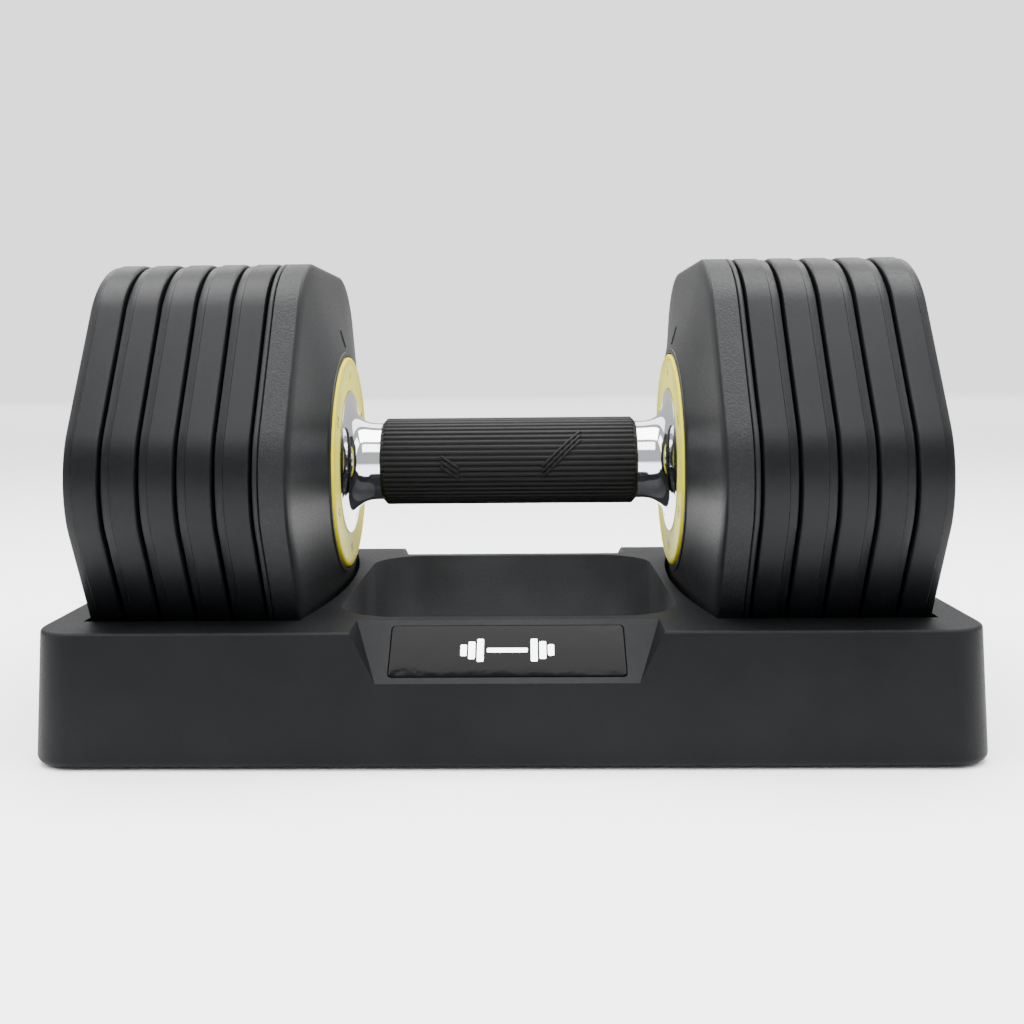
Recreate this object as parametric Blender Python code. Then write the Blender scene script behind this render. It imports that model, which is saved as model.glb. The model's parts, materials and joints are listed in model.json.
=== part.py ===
"""Adjustable dumbbell with a twist handle, standing in its storage tray.

Metres, +Z up. The origin is on the ground under the middle of the tray, and
the handle lies along X. The handle's own pieces are modelled about its axis
and then raised to AXIS_Z, so that each one's origin is on the twist axis.
"""

import math

import bmesh
import bpy
from mathutils import Matrix, Vector

# ---------------------------------------------------------------- fits
FIT = 0.0003               # gap between touching or sliding pieces
RUNNING_FIT = 0.0004       # gap all round a rod in a bore it slides through

# ---------------------------------------------------------------- handle
GRIP_LENGTH = 0.125
GRIP_WALL = 0.0052
GRIP_CHAMFER = 0.0020
TUBE_WALL = 0.0027
NECK_WALL = 0.0028         # collar's wall where it meets the grip
COLLAR_LENGTH = 0.0164     # along X, from the grip's end to the dial face
FLARE_RADIUS = 0.0353
FLANGE_MARGIN = 0.0023     # flange's rim inside the dial's rim
FLANGE_THICKNESS = 0.0027
LOCK_GROOVE_DEPTH = 0.0015
LOCK_GROOVE_WIDTH = 0.0070
LOCK_GROOVE_MARGIN = 0.0060  # groove's outer side inside the flange's rim
NOTCH_WIDTH = 0.0072
SETTINGS = 6
SETTING_ANGLE = math.radians(60)
DIAL_RADIUS = 0.0523
DIAL_THICKNESS = 0.0038
DIAL_CHAMFER = 0.0009

# ---------------------------------------------------------------- plates
HEX_HALF_HEIGHT = 0.0956
HEX_HALF_DEPTH = 0.1157    # to the front and rear corners before rounding
HEX_HALF_FLAT = 0.0629     # half of the flat top, before rounding
HEX_CORNER_RADIUS = 0.0500
PLATE_COUNT = 5            # on each side
PLATE_THICKNESS = 0.01464
PLATE_GAP = 0.0010
PLATE_FACE_WALL = 0.0035
PLATE_RIM_WALL = 0.0170
PLATE_INNER_CHAMFER = 0.0015
PLATE_BAND_WIDTH = 0.0040  # stepped band on the side away from the handle
PLATE_BAND_STEP = 0.00045
PLATE_BAND_EDGE = 0.0018
PLATE_BOSS_WALL = 0.0035
TONGUE_ROOT_WIDTH = 0.0200
TONGUE_TIP_WIDTH = 0.0240
TONGUE_HOLD = 0.0016       # how far a tongue reaches into the next plate
TONGUE_SINK = 0.0005       # how deep a tongue's root lies in its own plate
TONGUE_FROM_BOSS = 0.0145  # tongue's top end below the boss
TONGUE_FROM_RIM = 0.0086   # tongue's bottom end above the rim wall

# ---------------------------------------------------------------- heads
HEAD_FACE_SETBACK = 0.0012
HEAD_FACE_WALL = 0.0023    # face left outside the dial's recess
HEAD_CONE_LENGTH = 0.0102
HEAD_BAND_WIDTH = 0.0127   # rim band with the cover's edge
HEAD_EDGE = 0.0012
HEAD_SHOULDER = ((0.0035, 0.0051), (0.0022, 0.0029), (0.0009, 0.0010))  # back from rim, inset
HEAD_RIM_WALL = 0.0200
COVER_THICKNESS = 0.0023
BUSH_LENGTH = 0.0060
BUSH_WALL = 0.0040
NUT_THICKNESS = 0.0040
NUT_WALL = 0.0047          # to the corners

# ---------------------------------------------------------------- lock rods
ROD_RADIUS = 0.0072
ROD_INNER_END = 0.0050
ROD_SETBACK = 0.0008       # rod's outer end behind the head's outer face
GUIDE_WALL = 0.0015
CAM_WALL = 0.0037
PIN_RADIUS = 0.0020
PIN_FROM_ROD_END = 0.0045
PIN_CLEARANCE = 0.0005
SLOT_END_BAND = 0.0025

# ---------------------------------------------------------------- safety lock
SLIDER_THICKNESS = 0.0034
SLIDER_WIDTH = 0.0080
SLIDER_DROP = 0.0050
TOOTH_WIDTH = 0.0060
TOOTH_HEIGHT = 0.0040
TOOTH_FROM_GROOVE = 0.0015  # tooth's top outside the groove's inner side
POST_HEIGHT = 0.0054
LOCK_SPRING_WIRE = 0.0007
LOCK_SPRING_RADIUS = 0.0013
LOCK_SPRING_TURNS = 4
CLICK_SPRING_LENGTH = 0.0320
CLICK_SPRING_WIDTH = 0.0050
CLICK_SPRING_THICKNESS = 0.0006
CLICK_NOSE = 0.0018

# ---------------------------------------------------------------- tray
TRAY_END_WALL = 0.0163     # beyond each pocket, at the foot
TRAY_SIDE_MARGIN = 0.01455  # each side of the pocket's mouth
TRAY_UNDER_DIAL = 0.0088   # tray's top edge below the dial's lowest point
TRAY_DRAFT_X = 0.0012
TRAY_DRAFT_Y = 0.0030
TRAY_CORNER = 0.0180
TRAY_WALL = 0.0030
TRAY_EDGE = 0.0015
TRAY_FOOT_EDGE = 0.0030
POCKET_FLOOR_Z = 0.0214
POCKET_END_GAP = 0.0012
POCKET_CLEARANCE = 0.0004
POCKET_MOUTH_DEPTH = 0.0100
POCKET_MOUTH_SPREAD = 0.0120  # how much each side slopes out
POCKET_MOUTH_MARGIN = 0.0140  # mouth's edge outside the hexagon
POCKET_RIDGE = 0.0035      # left standing between each pocket and the recess
RECESS_FROM_SIDE = 0.0315
RECESS_CORNER = 0.0270
RECESS_FLOOR_Z = 0.0150
RECESS_DRAFT_X = 0.0015
RECESS_DRAFT_Y = 0.0080
NOTCH_LIP = 0.0060         # left standing between the recess and each notch
NOTCH_DEPTH = 0.0209
NOTCH_FROM_RECESS = 0.0115  # notch's end inside the recess's end
NOTCH_SPREAD = 0.0105
BADGE_MARGIN = 0.0050
BADGE_WIDTH = 0.0250
BADGE_THICKNESS = 0.0016
BADGE_PROUD = 0.0004
BADGE_CORNER = 0.0040
FOOT_HEIGHT = 0.0020
FOOT_RADIUS = 0.0090
FOOT_FROM_END = 0.0390
FOOT_FROM_SIDE = 0.0285
FOOT_SEAT_DEPTH = 0.0008
PAN_THICKNESS = 0.0024
SCREW_FROM_END = 0.0790
SCREW_FROM_SIDE = 0.0405
SCREW_SHANK = 0.0015
SCREW_HEAD = 0.0032
SCREW_HEAD_HEIGHT = 0.0012
SCREW_LENGTH = 0.0110
BOSS_WALL = 0.0025

# ---------------------------------------------------------------- mesh steps
CORNER_STEPS = 4
ROUND_STEPS = 24
DIAL_STEPS = 32
BORE_STEPS = 16
SMALL_STEPS = 12
SHANK_STEPS = 8
NUT_STEPS = 6
COIL_STEPS = 8             # for each turn of the lock spring
FLARE_STEPS = 5
SLOT_STEP = math.radians(15)
CUT_OVERRUN = 0.0020       # how far a cutter runs past the face it opens

# ---------------------------------------------------------------- worked out
AXIS_Z = POCKET_FLOOR_Z + POCKET_CLEARANCE + HEX_HALF_HEIGHT
GUIDE_INNER = ROD_RADIUS + FIT
GUIDE_RADIUS = GUIDE_INNER + GUIDE_WALL
CAM_INNER = GUIDE_RADIUS + FIT
CAM_RADIUS = CAM_INNER + CAM_WALL
TUBE_INNER = CAM_RADIUS + FIT
TUBE_RADIUS = TUBE_INNER + TUBE_WALL
SLEEVE_BORE = TUBE_RADIUS + FIT
GRIP_RADIUS = SLEEVE_BORE + GRIP_WALL
NECK_RADIUS = SLEEVE_BORE + NECK_WALL
BUSH_RADIUS = SLEEVE_BORE + BUSH_WALL
FLANGE_RADIUS = DIAL_RADIUS - FLANGE_MARGIN
LOCK_GROOVE_OUTER = FLANGE_RADIUS - LOCK_GROOVE_MARGIN
LOCK_GROOVE_INNER = LOCK_GROOVE_OUTER - LOCK_GROOVE_WIDTH
TOOTH_TOP_RADIUS = LOCK_GROOVE_INNER + TOOTH_FROM_GROOVE
CLICK_SPRING_RADIUS = (LOCK_GROOVE_OUTER + FLANGE_RADIUS) / 2
NUT_RADIUS = GUIDE_RADIUS + FIT + NUT_WALL
RECESS_RADIUS = DIAL_RADIUS + 2 * FIT
HEAD_FACE_RADIUS = RECESS_RADIUS + HEAD_FACE_WALL
DIAL_X = GRIP_LENGTH / 2 + FIT + COLLAR_LENGTH
FLANGE_X = DIAL_X + DIAL_THICKNESS + FIT
FLANGE_END_X = FLANGE_X + FLANGE_THICKNESS
RECESS_FLOOR_X = FLANGE_END_X + FIT
BUSH_END_X = RECESS_FLOOR_X + BUSH_LENGTH
HEAD_FACE_X = DIAL_X + HEAD_FACE_SETBACK
HEAD_RIM_X = HEAD_FACE_X + HEAD_CONE_LENGTH
HEAD_OUTER_X = HEAD_RIM_X + HEAD_BAND_WIDTH
COVER_X = HEAD_OUTER_X - COVER_THICKNESS
SHELL_END_X = COVER_X - FIT
CORE_X = BUSH_END_X + FIT
PLATE_PITCH = PLATE_THICKNESS + PLATE_GAP
FIRST_PLATE_X = HEAD_OUTER_X + PLATE_GAP
STACK_END_X = HEAD_OUTER_X + PLATE_COUNT * PLATE_PITCH
ROD_TRAVEL = PLATE_COUNT * PLATE_PITCH
TWIST_RANGE = (SETTINGS - 1) * SETTING_ANGLE
ROD_REST_END = HEAD_OUTER_X - ROD_SETBACK
ROD_BORE = ROD_RADIUS + 2 * RUNNING_FIT
PIN_REST_X = ROD_INNER_END + PIN_FROM_ROD_END
PIN_SLOT_HALF = PIN_RADIUS + PIN_CLEARANCE
TUBE_END_X = BUSH_END_X - FIT
CAM_END_X = TUBE_END_X - FIT
TONGUE_LENGTH = PLATE_GAP + TONGUE_HOLD
BOSS_RADIUS = ROD_BORE + PLATE_BOSS_WALL
TONGUE_TOP = -BOSS_RADIUS - TONGUE_FROM_BOSS
TONGUE_BOTTOM = -HEX_HALF_HEIGHT + PLATE_RIM_WALL + TONGUE_FROM_RIM
PAST_HEX = HEX_HALF_HEIGHT + CUT_OVERRUN
POCKET_INNER_X = DIAL_X + FIT
POCKET_END_X = STACK_END_X + POCKET_END_GAP
TRAY_HALF_LENGTH = POCKET_END_X + TRAY_END_WALL
TRAY_TOP_Z = AXIS_Z - DIAL_RADIUS - TRAY_UNDER_DIAL
HEX_RUN = (HEX_HALF_DEPTH - HEX_HALF_FLAT) / HEX_HALF_HEIGHT
POCKET_MOUTH_HALF = HEX_HALF_DEPTH - HEX_RUN * (AXIS_Z - TRAY_TOP_Z) + POCKET_MOUTH_MARGIN
POCKET_MOUTH_FOOT_HALF = POCKET_MOUTH_HALF - POCKET_MOUTH_SPREAD
TRAY_HALF_DEPTH = POCKET_MOUTH_HALF + TRAY_SIDE_MARGIN
RECESS_HALF_X = POCKET_INNER_X - POCKET_RIDGE
RECESS_HALF_Y = TRAY_HALF_DEPTH - RECESS_FROM_SIDE
NOTCH_TOP_Y = RECESS_HALF_Y + NOTCH_LIP
NOTCH_FOOT_Z = TRAY_TOP_Z - NOTCH_DEPTH
NOTCH_TOP_HALF = RECESS_HALF_X - NOTCH_FROM_RECESS
NOTCH_FOOT_HALF = NOTCH_TOP_HALF - NOTCH_SPREAD
BADGE_HALF_LENGTH = NOTCH_FOOT_HALF - BADGE_MARGIN
FOOT_X = TRAY_HALF_LENGTH - FOOT_FROM_END
FOOT_Y = TRAY_HALF_DEPTH - FOOT_FROM_SIDE
SCREW_X = TRAY_HALF_LENGTH - SCREW_FROM_END
SCREW_Y = TRAY_HALF_DEPTH - SCREW_FROM_SIDE

# ---------------------------------------------------------------- finishes
BLACK_PLASTIC = ((0.018, 0.018, 0.020), 0.55, 0.0)
DARK_PLASTIC = ((0.030, 0.031, 0.034), 0.50, 0.0)
GLOSS_BLACK = ((0.006, 0.006, 0.007), 0.08, 0.0)
CAST_STEEL = ((0.160, 0.160, 0.165), 0.60, 1.0)
BRIGHT_STEEL = ((0.560, 0.570, 0.580), 0.30, 1.0)
CHROME = ((0.700, 0.710, 0.730), 0.08, 1.0)
YELLOW_PLASTIC = ((0.860, 0.640, 0.120), 0.25, 0.0)
BLACK_RUBBER = ((0.012, 0.012, 0.013), 0.85, 0.0)
BRONZE = ((0.560, 0.390, 0.180), 0.40, 1.0)


# ================================================================ helpers
def clear_scene():
    """Remove every object of the open scene."""
    for item in list(bpy.data.objects):
        bpy.data.objects.remove(item, do_unlink=True)


def make_object(name, shape):
    """Turn a bmesh into a linked object whose faces point outwards."""
    bmesh.ops.recalc_face_normals(shape, faces=shape.faces)
    mesh = bpy.data.meshes.new(name)
    shape.to_mesh(mesh)
    shape.free()
    item = bpy.data.objects.new(name, mesh)
    bpy.context.scene.collection.objects.link(item)
    return item


def skin(name, rings):
    """Join closed rings of points, one after another, and cap both ends."""
    shape = bmesh.new()
    loops = [[shape.verts.new(point) for point in ring] for ring in rings]
    for one, two in zip(loops, loops[1:]):
        count = len(one)
        for index in range(count):
            after = (index + 1) % count
            shape.faces.new((one[index], one[after], two[after], two[index]))
    shape.faces.new(loops[0])
    shape.faces.new(loops[-1])
    return make_object(name, shape)


def in_triangles(item):
    """Split a solid's twisted faces into triangles, so that every cut is the same."""
    shape = bmesh.new()
    shape.from_mesh(item.data)
    bmesh.ops.triangulate(shape, faces=shape.faces, quad_method="FIXED")
    shape.to_mesh(item.data)
    shape.free()
    return item


def along_x(name, sections):
    """Skin (x, outline) sections whose outlines are (y, z) points."""
    return skin(name, [[(x, y, z) for y, z in outline] for x, outline in sections])


def along_z(name, sections):
    """Skin (z, outline) sections whose outlines are (x, y) points."""
    return skin(name, [[(x, y, z) for x, y in outline] for z, outline in sections])


def turned(name, profile, steps=ROUND_STEPS):
    """Turn a closed profile of (x, radius) points round the X axis."""
    shape = bmesh.new()
    points = [shape.verts.new((x, 0.0, radius)) for x, radius in profile]
    edges = [shape.edges.new((one, two)) for one, two in zip(points, points[1:] + points[:1])]
    bmesh.ops.spin(shape, geom=points + edges, cent=(0, 0, 0), axis=(1, 0, 0),
                   angle=math.tau, steps=steps, use_merge=True)
    bmesh.ops.remove_doubles(shape, verts=shape.verts, dist=1e-6)
    return make_object(name, shape)


def circle(radius, steps=ROUND_STEPS):
    """Points of a circle about the origin, anticlockwise."""
    turn = math.tau / steps
    return [(radius * math.cos(turn * k), radius * math.sin(turn * k)) for k in range(steps)]


def rod_along_x(name, start, end, radius, steps=BORE_STEPS):
    """A solid round bar along the X axis."""
    return along_x(name, [(start, circle(radius, steps)), (end, circle(radius, steps))])


def rod_along_z(name, centre, bottom, top, radius, steps=BORE_STEPS):
    """A solid round bar standing at an (x, y) centre."""
    outline = [(centre[0] + x, centre[1] + y) for x, y in circle(radius, steps)]
    return along_z(name, [(bottom, outline), (top, outline)])


def block(name, low, high):
    """A box between two opposite corners."""
    outline = [(low[0], low[1]), (high[0], low[1]), (high[0], high[1]), (low[0], high[1])]
    return along_z(name, [(low[2], outline), (high[2], outline)])


def rounded_polygon(corners, radius, steps=CORNER_STEPS):
    """An anticlockwise outline whose corners are arcs of one radius."""
    points = []
    for index, corner in enumerate(corners):
        here = Vector(corner)
        before = Vector(corners[index - 1])
        after = Vector(corners[(index + 1) % len(corners)])
        into = (here - before).normalized()
        out = (after - here).normalized()
        turn = into.angle(out)
        start = here - into * radius * math.tan(turn / 2)
        centre = start + Vector((-into.y, into.x)) * radius
        for step in range(steps + 1):
            arm = Matrix.Rotation(turn * step / steps, 2) @ (start - centre)
            points.append(tuple(centre + arm))
    return points


def rounded_rectangle(half_x, half_y, radius):
    """A rectangle outline with round corners."""
    corners = [(half_x, -half_y), (half_x, half_y), (-half_x, half_y), (-half_x, -half_y)]
    return rounded_polygon(corners, radius)


def hexagon(inset=0.0):
    """The plates' rounded hexagon in (y, z), moved inwards all round by inset."""
    run = HEX_HALF_DEPTH - HEX_HALF_FLAT
    slope = math.hypot(run, HEX_HALF_HEIGHT)
    normal_y = HEX_HALF_HEIGHT / slope
    normal_z = run / slope
    reach = HEX_HALF_DEPTH * normal_y - inset
    height = HEX_HALF_HEIGHT - inset
    depth = reach / normal_y
    flat = (reach - normal_z * height) / normal_y
    corners = [(depth, 0), (flat, height), (-flat, height),
               (-depth, 0), (-flat, -height), (flat, -height)]
    return rounded_polygon(corners, HEX_CORNER_RADIUS - inset)


def rounded_to(outline, radius):
    """The points of an outline moved onto a circle, each along its own ray."""
    return [(y * radius / math.hypot(y, z), z * radius / math.hypot(y, z)) for y, z in outline]


def combine(target, tool, operation="DIFFERENCE"):
    """Apply a Boolean of another solid to a target, then remove that solid."""
    modifier = target.modifiers.new("combine", "BOOLEAN")
    modifier.operation = operation
    modifier.solver = "EXACT"
    modifier.object = tool
    bpy.context.view_layer.update()
    evaluated = target.evaluated_get(bpy.context.evaluated_depsgraph_get())
    result = bpy.data.meshes.new_from_object(evaluated)
    target.modifiers.clear()
    target.data = result
    bpy.data.objects.remove(tool, do_unlink=True)
    return target


def copy_solid(source, name, shift_x=0.0, mirror=False):
    """A separate solid with the source's shape, shifted and mirrored in X."""
    shape = bmesh.new()
    shape.from_mesh(source.data)
    if mirror:
        bmesh.ops.scale(shape, vec=(-1, 1, 1), verts=shape.verts)
    bmesh.ops.translate(shape, vec=(shift_x, 0, 0), verts=shape.verts)
    return make_object(name, shape)


def finish(item, paint, parent, smooth=False):
    """Give a piece its material, its shading and its place in its body."""
    colour, roughness, metallic = paint
    material = bpy.data.materials.new(item.name)
    material.use_nodes = True
    shader = material.node_tree.nodes["Principled BSDF"]
    shader.inputs["Base Color"].default_value = (*colour, 1.0)
    shader.inputs["Roughness"].default_value = roughness
    shader.inputs["Metallic"].default_value = metallic
    item.data.materials.clear()
    item.data.materials.append(material)
    if smooth:
        item.data.shade_smooth()
        item.data.set_sharp_from_angle(angle=math.radians(35))
    item.parent = parent
    return item


def make_body(name, height=0.0, parent=None):
    """An empty that carries one body's pieces, at a height on the Z axis."""
    body = bpy.data.objects.new(name, None)
    bpy.context.scene.collection.objects.link(body)
    body.location.z = height
    body.parent = parent
    return body


# ================================================================ handle
def helical_slot(side, start_angle):
    """Cutter for one cam slot, which a follower pin's end runs in."""
    lead = ROD_TRAVEL / TWIST_RANGE
    slope = math.atan2(lead, CAM_INNER)
    half_width = PIN_SLOT_HALF / math.cos(slope)
    extra = PIN_SLOT_HALF / CAM_INNER
    low = PIN_REST_X - SLOT_END_BAND
    high = PIN_REST_X + ROD_TRAVEL + SLOT_END_BAND
    steps = math.ceil((TWIST_RANGE + 2 * extra) / SLOT_STEP)
    rings = []
    for step in range(steps + 1):
        turn = -extra + (TWIST_RANGE + 2 * extra) * step / steps
        middle = PIN_REST_X + lead * turn
        near = max(middle - half_width, low)
        far = min(middle + half_width, high)
        angle = start_angle - turn
        ring = []
        for x, radius in ((near, CAM_INNER - CUT_OVERRUN), (far, CAM_INNER - CUT_OVERRUN),
                          (far, CAM_RADIUS + CUT_OVERRUN), (near, CAM_RADIUS + CUT_OVERRUN)):
            ring.append((side * x, radius * math.cos(angle), radius * math.sin(angle)))
        rings.append(ring)
    return in_triangles(skin("slot_cutter", rings))


def make_cam_sleeve():
    """Sleeve inside the handle tube, with two helical slots at each end."""
    sleeve = turned("cam_sleeve", [(-CAM_END_X, CAM_INNER), (-CAM_END_X, CAM_RADIUS),
                                   (CAM_END_X, CAM_RADIUS), (CAM_END_X, CAM_INNER)])
    for side in (1, -1):
        for start_angle in (math.pi / 2, -math.pi / 2):
            combine(sleeve, helical_slot(side, start_angle))
    return sleeve


def make_collar():
    """Flared collar whose flange carries the dial and the lock notches."""
    neck_x = GRIP_LENGTH / 2 + FIT
    profile = [(neck_x, SLEEVE_BORE)]
    for step in range(FLARE_STEPS + 1):
        angle = math.pi / 2 * step / FLARE_STEPS
        profile.append((neck_x + COLLAR_LENGTH * math.sin(angle),
                        FLARE_RADIUS - (FLARE_RADIUS - NECK_RADIUS) * math.cos(angle)))
    groove_x = FLANGE_END_X - LOCK_GROOVE_DEPTH
    profile += [(FLANGE_X, FLARE_RADIUS), (FLANGE_X, FLANGE_RADIUS),
                (FLANGE_END_X, FLANGE_RADIUS), (FLANGE_END_X, LOCK_GROOVE_OUTER),
                (groove_x, LOCK_GROOVE_OUTER), (groove_x, LOCK_GROOVE_INNER),
                (FLANGE_END_X, LOCK_GROOVE_INNER), (FLANGE_END_X, SLEEVE_BORE)]
    collar = turned("collar_right", profile)
    for setting in range(SETTINGS):
        notch = block("notch_cutter",
                      (groove_x, -NOTCH_WIDTH / 2, LOCK_GROOVE_OUTER - CUT_OVERRUN),
                      (FLANGE_END_X + CUT_OVERRUN, NOTCH_WIDTH / 2, FLANGE_RADIUS + CUT_OVERRUN))
        notch.data.transform(Matrix.Rotation(setting * SETTING_ANGLE, 4, "X"))
        combine(collar, notch)
    return collar


def make_dial():
    """Ring with the weight settings, seated on the collar's flange."""
    inner = FLARE_RADIUS + FIT
    back_x = DIAL_X + DIAL_THICKNESS
    return turned("dial_ring_right", [
        (DIAL_X, inner + DIAL_CHAMFER / 2), (DIAL_X, DIAL_RADIUS - DIAL_CHAMFER),
        (DIAL_X + DIAL_CHAMFER, DIAL_RADIUS), (back_x, DIAL_RADIUS),
        (back_x, inner), (DIAL_X + DIAL_CHAMFER / 2, inner)], steps=DIAL_STEPS)


def build_handle(body):
    """Everything that turns with the grip."""
    half = GRIP_LENGTH / 2
    edge = GRIP_RADIUS - GRIP_CHAMFER
    grip = turned("grip_sleeve", [
        (-half, SLEEVE_BORE), (-half, edge), (-half + GRIP_CHAMFER, GRIP_RADIUS),
        (half - GRIP_CHAMFER, GRIP_RADIUS), (half, edge), (half, SLEEVE_BORE)])
    tube = turned("handle_tube", [(-TUBE_END_X, TUBE_INNER), (-TUBE_END_X, TUBE_RADIUS),
                                  (TUBE_END_X, TUBE_RADIUS), (TUBE_END_X, TUBE_INNER)])
    finish(grip, BLACK_RUBBER, body, smooth=True)
    finish(tube, BRIGHT_STEEL, body, smooth=True)
    finish(make_cam_sleeve(), BRIGHT_STEEL, body)
    collar = make_collar()
    dial = make_dial()
    finish(copy_solid(collar, "collar_left", mirror=True), CHROME, body, smooth=True)
    finish(copy_solid(dial, "dial_ring_left", mirror=True), YELLOW_PLASTIC, body, smooth=True)
    finish(collar, CHROME, body, smooth=True)
    finish(dial, YELLOW_PLASTIC, body, smooth=True)


# ================================================================ frame
def make_guide_tube():
    """Fixed inner tube that ties the heads together and keeps the pins level."""
    end = SHELL_END_X - FIT
    tube = turned("guide_tube", [(-end, GUIDE_INNER), (-end, GUIDE_RADIUS),
                                 (end, GUIDE_RADIUS), (end, GUIDE_INNER)], steps=BORE_STEPS)
    near = PIN_REST_X - SLOT_END_BAND
    far = PIN_REST_X + ROD_TRAVEL + SLOT_END_BAND
    for side in (1, -1):
        low_x, high_x = sorted((side * near, side * far))
        combine(tube, block("slot_cutter", (low_x, -PIN_SLOT_HALF, -GUIDE_RADIUS - CUT_OVERRUN),
                            (high_x, PIN_SLOT_HALF, GUIDE_RADIUS + CUT_OVERRUN)))
    return tube


def make_tongue(face_x, grow=0.0, bottom=TONGUE_BOTTOM, top=TONGUE_TOP):
    """Upright dovetail on an outer face, or with grow the groove it slides in."""
    root = TONGUE_ROOT_WIDTH / 2
    slope = (TONGUE_TIP_WIDTH / 2 - root) / TONGUE_LENGTH
    near = -TONGUE_SINK
    far = TONGUE_LENGTH + grow
    near_half = root + slope * near + grow
    far_half = root + slope * far + grow
    outline = [(face_x + near, -near_half), (face_x + far, -far_half),
               (face_x + far, far_half), (face_x + near, near_half)]
    return along_z("tongue", [(bottom, outline), (top, outline)])


def make_head_shell():
    """Moulded head: a round dial face that widens to the hexagonal rim."""
    rim = hexagon()
    face = [(HEAD_FACE_X, rounded_to(rim, HEAD_FACE_RADIUS - HEAD_EDGE / 2)),
            (HEAD_FACE_X + HEAD_EDGE / 2, rounded_to(rim, HEAD_FACE_RADIUS))]
    shoulder = [(HEAD_RIM_X - back, hexagon(inset)) for back, inset in HEAD_SHOULDER]
    shell = along_x("head_shell_right", face + shoulder + [(HEAD_RIM_X, rim), (SHELL_END_X, rim)])
    combine(shell, rod_along_x("dial_recess", HEAD_FACE_X - CUT_OVERRUN, RECESS_FLOOR_X,
                               RECESS_RADIUS, DIAL_STEPS))
    combine(shell, rod_along_x("bush_seat", RECESS_FLOOR_X - CUT_OVERRUN,
                               BUSH_END_X + CUT_OVERRUN, BUSH_RADIUS + FIT, ROUND_STEPS))
    pocket = hexagon(HEAD_RIM_WALL)
    combine(shell, along_x("core_seat", [(BUSH_END_X, pocket),
                                         (SHELL_END_X + CUT_OVERRUN, pocket)]))
    slider_x = BUSH_END_X - FIT - SLIDER_THICKNESS
    half = SLIDER_WIDTH / 2 + FIT
    combine(shell, block("slider_channel", (slider_x - FIT, -half, -PAST_HEX),
                         (BUSH_END_X + CUT_OVERRUN / 2, half, spring_top() + FIT)))
    tooth_half = TOOTH_WIDTH / 2 + FIT
    combine(shell, block("tooth_slot", (RECESS_FLOOR_X - CUT_OVERRUN, -tooth_half,
                                        -TOOTH_TOP_RADIUS - TOOTH_HEIGHT - SLIDER_DROP - FIT),
                         (slider_x, tooth_half, -TOOTH_TOP_RADIUS + FIT)))
    click_half = CLICK_SPRING_LENGTH / 2 + FIT
    click_width = CLICK_SPRING_WIDTH / 2 + FIT
    combine(shell, block("click_seat", (RECESS_FLOOR_X - CUT_OVERRUN, -click_half,
                                        CLICK_SPRING_RADIUS - click_width),
                         (RECESS_FLOOR_X + 2 * CLICK_SPRING_THICKNESS + 2 * FIT, click_half,
                          CLICK_SPRING_RADIUS + click_width)))
    return shell


def make_head_core():
    """Steel weight in the head, bored for the guide tube and its nut."""
    outline = hexagon(HEAD_RIM_WALL + FIT)
    core = along_x("head_core_right", [(CORE_X, outline), (SHELL_END_X, outline)])
    combine(core, rod_along_x("guide_bore", CORE_X - CUT_OVERRUN, SHELL_END_X + CUT_OVERRUN,
                              GUIDE_RADIUS + FIT))
    combine(core, rod_along_x("nut_seat", SHELL_END_X - NUT_THICKNESS - 2 * FIT,
                              SHELL_END_X + CUT_OVERRUN, NUT_RADIUS + FIT))
    return core


def make_head_cover():
    """Cover on the head's outer side, with the tongue for the first plate."""
    cover = along_x("head_cover_right", [(COVER_X, hexagon()),
                                         (HEAD_OUTER_X - HEAD_EDGE, hexagon()),
                                         (HEAD_OUTER_X, hexagon(HEAD_EDGE / 2))])
    combine(cover, make_tongue(HEAD_OUTER_X), "UNION")
    return combine(cover, rod_along_x("rod_bore", COVER_X - CUT_OVERRUN,
                                      HEAD_OUTER_X + CUT_OVERRUN, ROD_BORE))


def make_bush():
    """Bronze bush in the head that the handle tube turns in."""
    start = RECESS_FLOOR_X + FIT
    return turned("bush_right", [(start, SLEEVE_BORE), (start, BUSH_RADIUS),
                                 (BUSH_END_X, BUSH_RADIUS), (BUSH_END_X, SLEEVE_BORE)])


def make_nut():
    """Hexagon nut on the guide tube that draws the head tight."""
    start = SHELL_END_X - FIT - NUT_THICKNESS
    nut = rod_along_x("guide_nut_right", start, SHELL_END_X - FIT, NUT_RADIUS, NUT_STEPS)
    return combine(nut, rod_along_x("nut_bore", start - CUT_OVERRUN, SHELL_END_X + CUT_OVERRUN,
                                    GUIDE_RADIUS + FIT))


def make_click_spring():
    """Leaf spring whose nose drops into a flange notch at each setting."""
    back = RECESS_FLOOR_X + 2 * CLICK_SPRING_THICKNESS + FIT
    low = CLICK_SPRING_RADIUS - CLICK_SPRING_WIDTH / 2
    high = CLICK_SPRING_RADIUS + CLICK_SPRING_WIDTH / 2
    half = CLICK_SPRING_LENGTH / 2
    nose_half = NOTCH_WIDTH / 3
    stations = [(-half, 0.0), (-nose_half, 0.0), (-nose_half / 3, CLICK_NOSE),
                (nose_half / 3, CLICK_NOSE), (nose_half, 0.0), (half, 0.0)]
    rings = []
    for y, rise in stations:
        front = back - CLICK_SPRING_THICKNESS - rise
        rings.append([(front, y, low), (back - rise, y, low), (back - rise, y, high), (front, y, high)])
    return skin("click_spring_right", rings)


def slider_middle_x():
    """Middle of the lock slider's thickness."""
    return BUSH_END_X - FIT - SLIDER_THICKNESS / 2


def spring_top():
    """Height of the lock spring's top end, from the handle axis."""
    return -BUSH_RADIUS - 3 * FIT


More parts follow.
